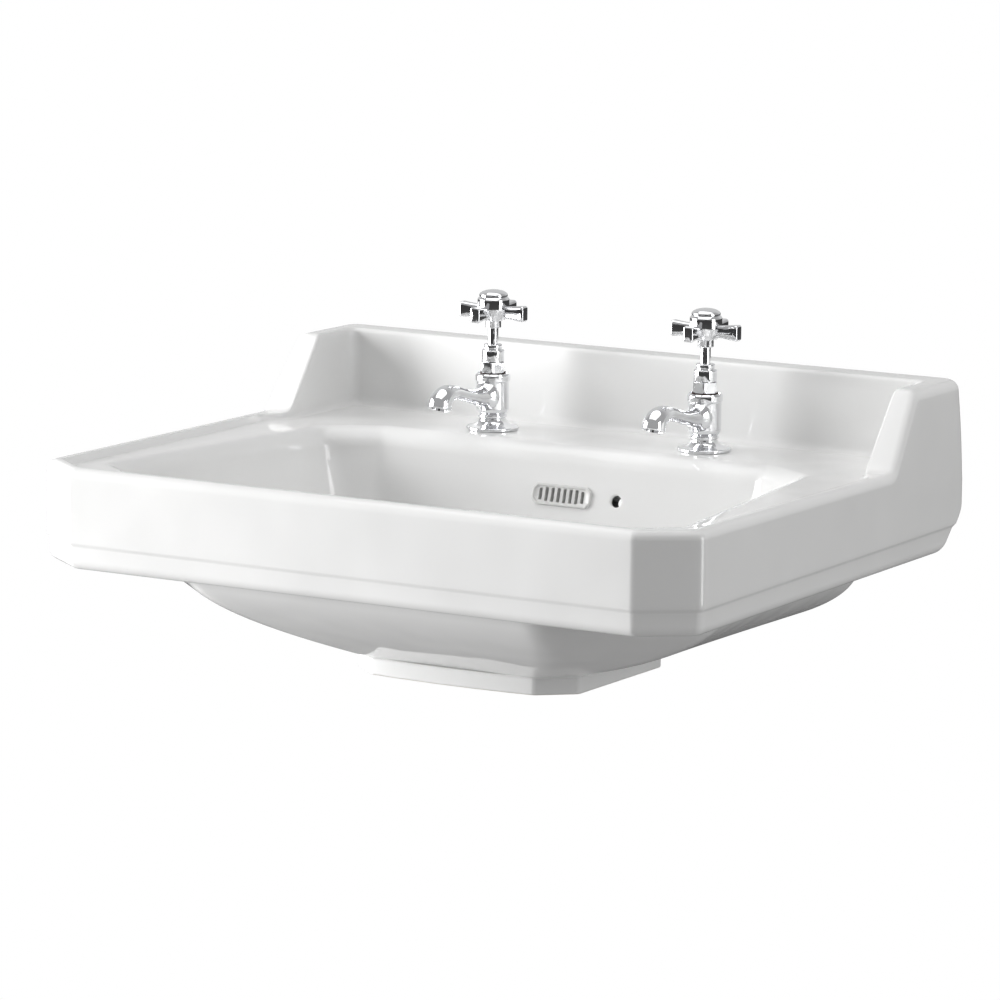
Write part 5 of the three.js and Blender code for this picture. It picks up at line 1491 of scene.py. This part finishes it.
def away_from_middle(bearing, elevation):
    """The direction that lies so far to the right of the front and so far above the level."""
    level = math.cos(elevation)
    return Vector((math.sin(bearing) * level, -math.cos(bearing) * level, math.sin(elevation)))


def camera_axes(stage, roll=0.0):
    bearing, height = stage.bearing, stage.height
    back = away_from_middle(bearing, height)
    right = Vector((math.cos(bearing), math.sin(bearing), 0))
    up = back.cross(right)
    turned_right = right * math.cos(roll) + up * math.sin(roll)
    return turned_right, up * math.cos(roll) - right * math.sin(roll), back


def place_camera(stage):
    level_right, level_up, back = camera_axes(stage)
    aim = Vector((0, -DEPTH / 2 * MM, 0)) + (level_right * CAMERA_AIM[0] + level_up * CAMERA_AIM[1]) * MM
    fresh()
    bpy.ops.object.camera_add()
    camera = bpy.context.object
    axes = Matrix(camera_axes(stage, CAMERA_ROLL)).transposed()
    camera.matrix_world = Matrix.Translation(aim + back * stage.distance) @ axes.to_4x4()
    camera.data.lens = stage.lens
    camera.data.sensor_width = 36
    camera.data.clip_end = 200
    bpy.context.scene.camera = camera


def softbox(name, bearing, elevation, distance, width, height, power):
    """A rectangular light that faces the middle of the basin."""
    away = away_from_middle(math.radians(bearing), math.radians(elevation))
    fresh()
    bpy.ops.object.light_add(type="AREA", location=Vector((0, -DEPTH / 2 * MM, 0)) + away * distance)
    light = bpy.context.object
    light.name = name
    light.rotation_euler = away.to_track_quat("Z", "Y").to_euler()
    light.data.shape = "RECTANGLE"
    light.data.size, light.data.size_y = width, height
    light.data.energy = power


def room(stage):
    """White to the camera. What glossy faces mirror is a pale room, whiter behind, dark by the camera."""
    world = bpy.data.worlds.new("room")
    bpy.context.scene.world = world
    world.use_nodes = True
    tree = world.node_tree
    tree.nodes.clear()
    place = tree.nodes.new("ShaderNodeTexCoord")
    facing = add_node(tree, "ShaderNodeVectorMath", {"operation": "DOT_PRODUCT"})
    facing.inputs[1].default_value = (math.sin(stage.bearing), -math.cos(stage.bearing), 0.0)
    dim = add_node(tree, "ShaderNodeMapRange", {"interpolation_type": "SMOOTHSTEP"}, From_Min=0.957,
                   From_Max=0.984, To_Min=stage.walls, To_Max=0.01)
    behind = add_node(tree, "ShaderNodeMapRange", {"interpolation_type": "SMOOTHSTEP"}, From_Min=-0.2,
                      From_Max=-0.7, To_Min=0.0, To_Max=0.3)
    mirrored = add_node(tree, "ShaderNodeMath", {"operation": "ADD"})
    seen = tree.nodes.new("ShaderNodeLightPath")
    glossy, white = (tree.nodes.new("ShaderNodeMix") for _ in range(2))
    glossy.inputs[2].default_value = stage.sky
    white.inputs[3].default_value = 1.0
    background = tree.nodes.new("ShaderNodeBackground")
    out = tree.nodes.new("ShaderNodeOutputWorld")
    link(tree, place.outputs["Generated"], facing.inputs[0])
    link(tree, facing.outputs["Value"], dim.inputs["Value"])
    link(tree, facing.outputs["Value"], behind.inputs["Value"])
    link(tree, dim.outputs["Result"], mirrored.inputs[0])
    link(tree, behind.outputs["Result"], mirrored.inputs[1])
    link(tree, seen.outputs["Is Glossy Ray"], glossy.inputs[0])
    link(tree, mirrored.outputs["Value"], glossy.inputs[3])
    link(tree, seen.outputs["Is Camera Ray"], white.inputs[0])
    link(tree, glossy.outputs[0], white.inputs[2])
    link(tree, white.outputs[0], background.inputs["Strength"])
    link(tree, background.outputs["Background"], out.inputs["Surface"])


def pale_floor(stage):
    """A plain floor far below, seen as white and lighting the underside as a pale room does."""
    fresh()
    bpy.ops.mesh.primitive_plane_add(size=120, location=(0, 0, -stage.floor_drop))
    floor = named(bpy.context.object, "floor")
    bpy.ops.object.transform_apply(location=True, rotation=True, scale=True)
    material = bpy.data.materials.new("pale_floor")
    material.use_nodes = True
    tree = material.node_tree
    tree.nodes.clear()
    seen = tree.nodes.new("ShaderNodeLightPath")
    white = add_node(tree, "ShaderNodeEmission", Strength=1.0)
    matt = add_node(tree, "ShaderNodeBsdfDiffuse", Color=(0.3, 0.3, 0.3, 1))
    mix = tree.nodes.new("ShaderNodeMixShader")
    out = tree.nodes.new("ShaderNodeOutputMaterial")
    link(tree, seen.outputs["Is Camera Ray"], mix.inputs[0])
    link(tree, matt.outputs[0], mix.inputs[1])
    link(tree, white.outputs[0], mix.inputs[2])
    link(tree, mix.outputs[0], out.inputs["Surface"])
    floor.data.materials.append(material)


class BASIN_OT_stage(bpy.types.Operator):
    """Set up the pale floor, the soft lights, the room and the camera"""

    bl_idname = "basin.stage"
    bl_label = "Stage"

    def execute(self, context):
        stage = context.scene.basin_stage
        pale_floor(stage)
        room(stage)
        softbox("key_softbox", -65, 8, 3.0, 2.1, 2.2, stage.key)
        softbox("low_softbox", -62, -10, 2.6, 2.0, 0.5, stage.low)
        softbox("fill_softbox", 88, 8, 2.6, 1.0, 1.8, stage.fill)
        softbox("top_softbox", 0, 88, 2.4, 3.0, 2.6, stage.overhead)
        place_camera(stage)
        context.scene.view_settings.view_transform = "Standard"
        return {"FINISHED"}


# ---- The pieces ----
class BASIN_OT_china(bpy.types.Operator):
    """Model the glazed china: foot, hull, band, fascia, rim, splashback, deck and bowl"""

    bl_idname = "basin.china"
    bl_label = "China basin"

    def execute(self, context):
        fit(basin_china(context.scene.basin_sizes), "root", "white_china", "basin")
        return {"FINISHED"}


class BASIN_OT_grille(bpy.types.Operator):
    """Model the slotted plate over the overflow"""

    bl_idname = "basin.grille"
    bl_label = "Overflow grille"

    def execute(self, context):
        fit(overflow_plate(), "root", "grille_white", "overflow_grille")
        return {"FINISHED"}


class BASIN_OT_waste(bpy.types.Operator):
    """Model the waste fitting with its seals and nut"""

    bl_idname = "basin.waste"
    bl_label = "Waste"

    def execute(self, context):
        fit(waste_fitting(), "root", "waste_chrome", "waste_body")
        hole = WASTE_TUBE + GAP
        upper = seal_ring("waste_upper_ring", hole, WASTE_FLANGE[0] - 1, WASTE_SEAT + GAP,
                          WASTE_FLANGE[1] - GAP, WASTE)
        lower = seal_ring("waste_lower_ring", hole, BOSS_RADIUS - 6, NUT_TOP + GAP, BOSS_BOTTOM - GAP, WASTE)
        nut = hexagon_piece("waste_nut", 52, NUT_TOP - 8, NUT_TOP, hole, WASTE, 30)
        fit(upper, "root", "black_rubber", "waste_top_seal")
        fit(lower, "root", "black_rubber", "waste_lower_seal")
        fit(smooth(nut, 30), "root", "plain_brass", "waste_backnut")
        return {"FINISHED"}


class BASIN_OT_plug(bpy.types.Operator):
    """Model the rising plug: its dome, ring and spigot"""

    bl_idname = "basin.plug"
    bl_label = "Plug"

    def execute(self, context):
        ring = seal_ring("plug_ring", WASTE_BORE + 1, PLUG_RADIUS - 1.4, PLUG_FOOT - 1.85, PLUG_FOOT - GAP,
                         WASTE)
        fit(plug_dome(), "plug", "waste_chrome", "plug_cap")
        fit(ring, "plug", "black_rubber", "plug_seal")
        fit(plug_spigot(), "plug", "plain_brass", "plug_stem")
        return {"FINISHED"}


class BASIN_OT_pillars(bpy.types.Operator):
    """Model the two tap pillars with their spouts, and what holds them to the deck"""

    bl_idname = "basin.pillars"
    bl_label = "Tap pillars"

    def execute(self, context):
        fit_pair(tap_casting(), "root", "tap_chrome", "tap_body")
        hole, under = TAIL_RADIUS + GAP, -DECK_THICKNESS - GAP
        seal = seal_ring("hot_deck_ring", hole, 16.8, GAP, GAP + 1.1, TAP)
        clamp = seal_ring("hot_clamp_ring", hole, 19, under - 3, under, TAP)
        nut = hexagon_piece("hot_tail_nut", 30, under - 3.25 - 8, under - 3.25, hole, TAP, 30)
        fit_pair(seal, "root", "black_rubber", "base_seal")
        fit_pair(clamp, "root", "nylon", "clamp_washer")
        fit_pair(smooth(nut, 30), "root", "plain_brass", "backnut")
        return {"FINISHED"}


class BASIN_OT_headwork(bpy.types.Operator):
    """Model the taps' bonnets, gland nuts, packing and spindles"""

    bl_idname = "basin.headwork"
    bl_label = "Tap headwork"

    def execute(self, context):
        fit_pair(bonnet_grip(), "root", "tap_chrome", "bonnet")
        fit_pair(gland_cap(), "root", "tap_chrome", "gland_nut")
        low, top = WASHER_POCKET[1] + GAP, BONNET_NECK[1]
        joint = seal_ring("hot_joint_ring", CHAMBER_RADIUS + GAP, 10.7, low, low + 0.9, TAP, 0.15)
        fit_pair(joint, "root", "red_fibre", "bonnet_washer")
        wound = seal_ring("hot_wound_ring", STEM_RADIUS + STEM_GAP, PACKING_RADIUS - GAP,
                          top - PACKING_DEPTH + GAP, top - GAP, TAP)
        fit_pair(wound, "root", "packing", "gland_packing")
        fit_pair(spindle_stem(), "handle", "tap_chrome", "spindle")
        return {"FINISHED"}


class BASIN_OT_handles(bpy.types.Operator):
    """Model the cross handles and their dome caps"""

    bl_idname = "basin.handles"
    bl_label = "Cross handles"

    def execute(self, context):
        fit_pair(cross_handle(), "handle", "tap_chrome", "crosshead")
        fit_pair(dome_cap(), "handle", "tap_chrome", "index_cap")
        return {"FINISHED"}


class BASIN_OT_inner(bpy.types.Operator):
    """Give the small pieces inside the taps, which keep the frame's shape, their finishes"""

    bl_idname = "basin.inner"
    bl_label = "Inner pieces"

    def execute(self, context):
        slots = {"jumper": "plain_brass", "tap_washer": "black_rubber", "washer_nut": "plain_brass",
                 "crosshead_screw": "plain_brass"}
        for side in ("hot", "cold"):
            for node, slot in slots.items():
                bpy.data.objects[f"{side}_{node}"].data.materials[0] = finish(slot)
        return {"FINISHED"}


class BASIN_PT_tools(bpy.types.Panel):
    """Lists the pieces in the order they are made"""

    bl_idname = "BASIN_PT_tools"
    bl_label = "Pedestal Basin"
    bl_space_type = "VIEW_3D"
    bl_region_type = "UI"
    bl_category = "Basin"

    def draw(self, context):
        layout = self.layout
        for group_name in ("basin_sizes", "basin_look", "basin_stage"):
            settings = getattr(context.scene, group_name)
            column = layout.box().column()
            for name in settings.bl_rna.properties.keys():
                if name not in ("rna_type", "name"):
                    column.prop(settings, name)
        for operator in OPERATORS:
            layout.operator(operator.bl_idname)


OPERATORS = (BASIN_OT_stage, BASIN_OT_china, BASIN_OT_grille, BASIN_OT_waste, BASIN_OT_plug, BASIN_OT_pillars,
             BASIN_OT_headwork, BASIN_OT_handles, BASIN_OT_inner)
SETTINGS = {"basin_sizes": BasinSizes, "basin_look": BasinLook, "basin_stage": BasinStage}


def register():
    for kind in (*SETTINGS.values(), *OPERATORS, BASIN_PT_tools):
        bpy.utils.register_class(kind)
    for name, kind in SETTINGS.items():
        setattr(bpy.types.Scene, name, bpy.props.PointerProperty(type=kind))


def unregister():
    for name in SETTINGS:
        delattr(bpy.types.Scene, name)
    for kind in reversed((*SETTINGS.values(), *OPERATORS, BASIN_PT_tools)):
        bpy.utils.unregister_class(kind)


def main():
    register()
    bpy.ops.basin.stage()
    bpy.ops.basin.china()
    bpy.ops.basin.grille()
    bpy.ops.basin.waste()
    bpy.ops.basin.plug()
    bpy.ops.basin.pillars()
    bpy.ops.basin.headwork()
    bpy.ops.basin.handles()
    bpy.ops.basin.inner()


if __name__ == "__main__":
    main()
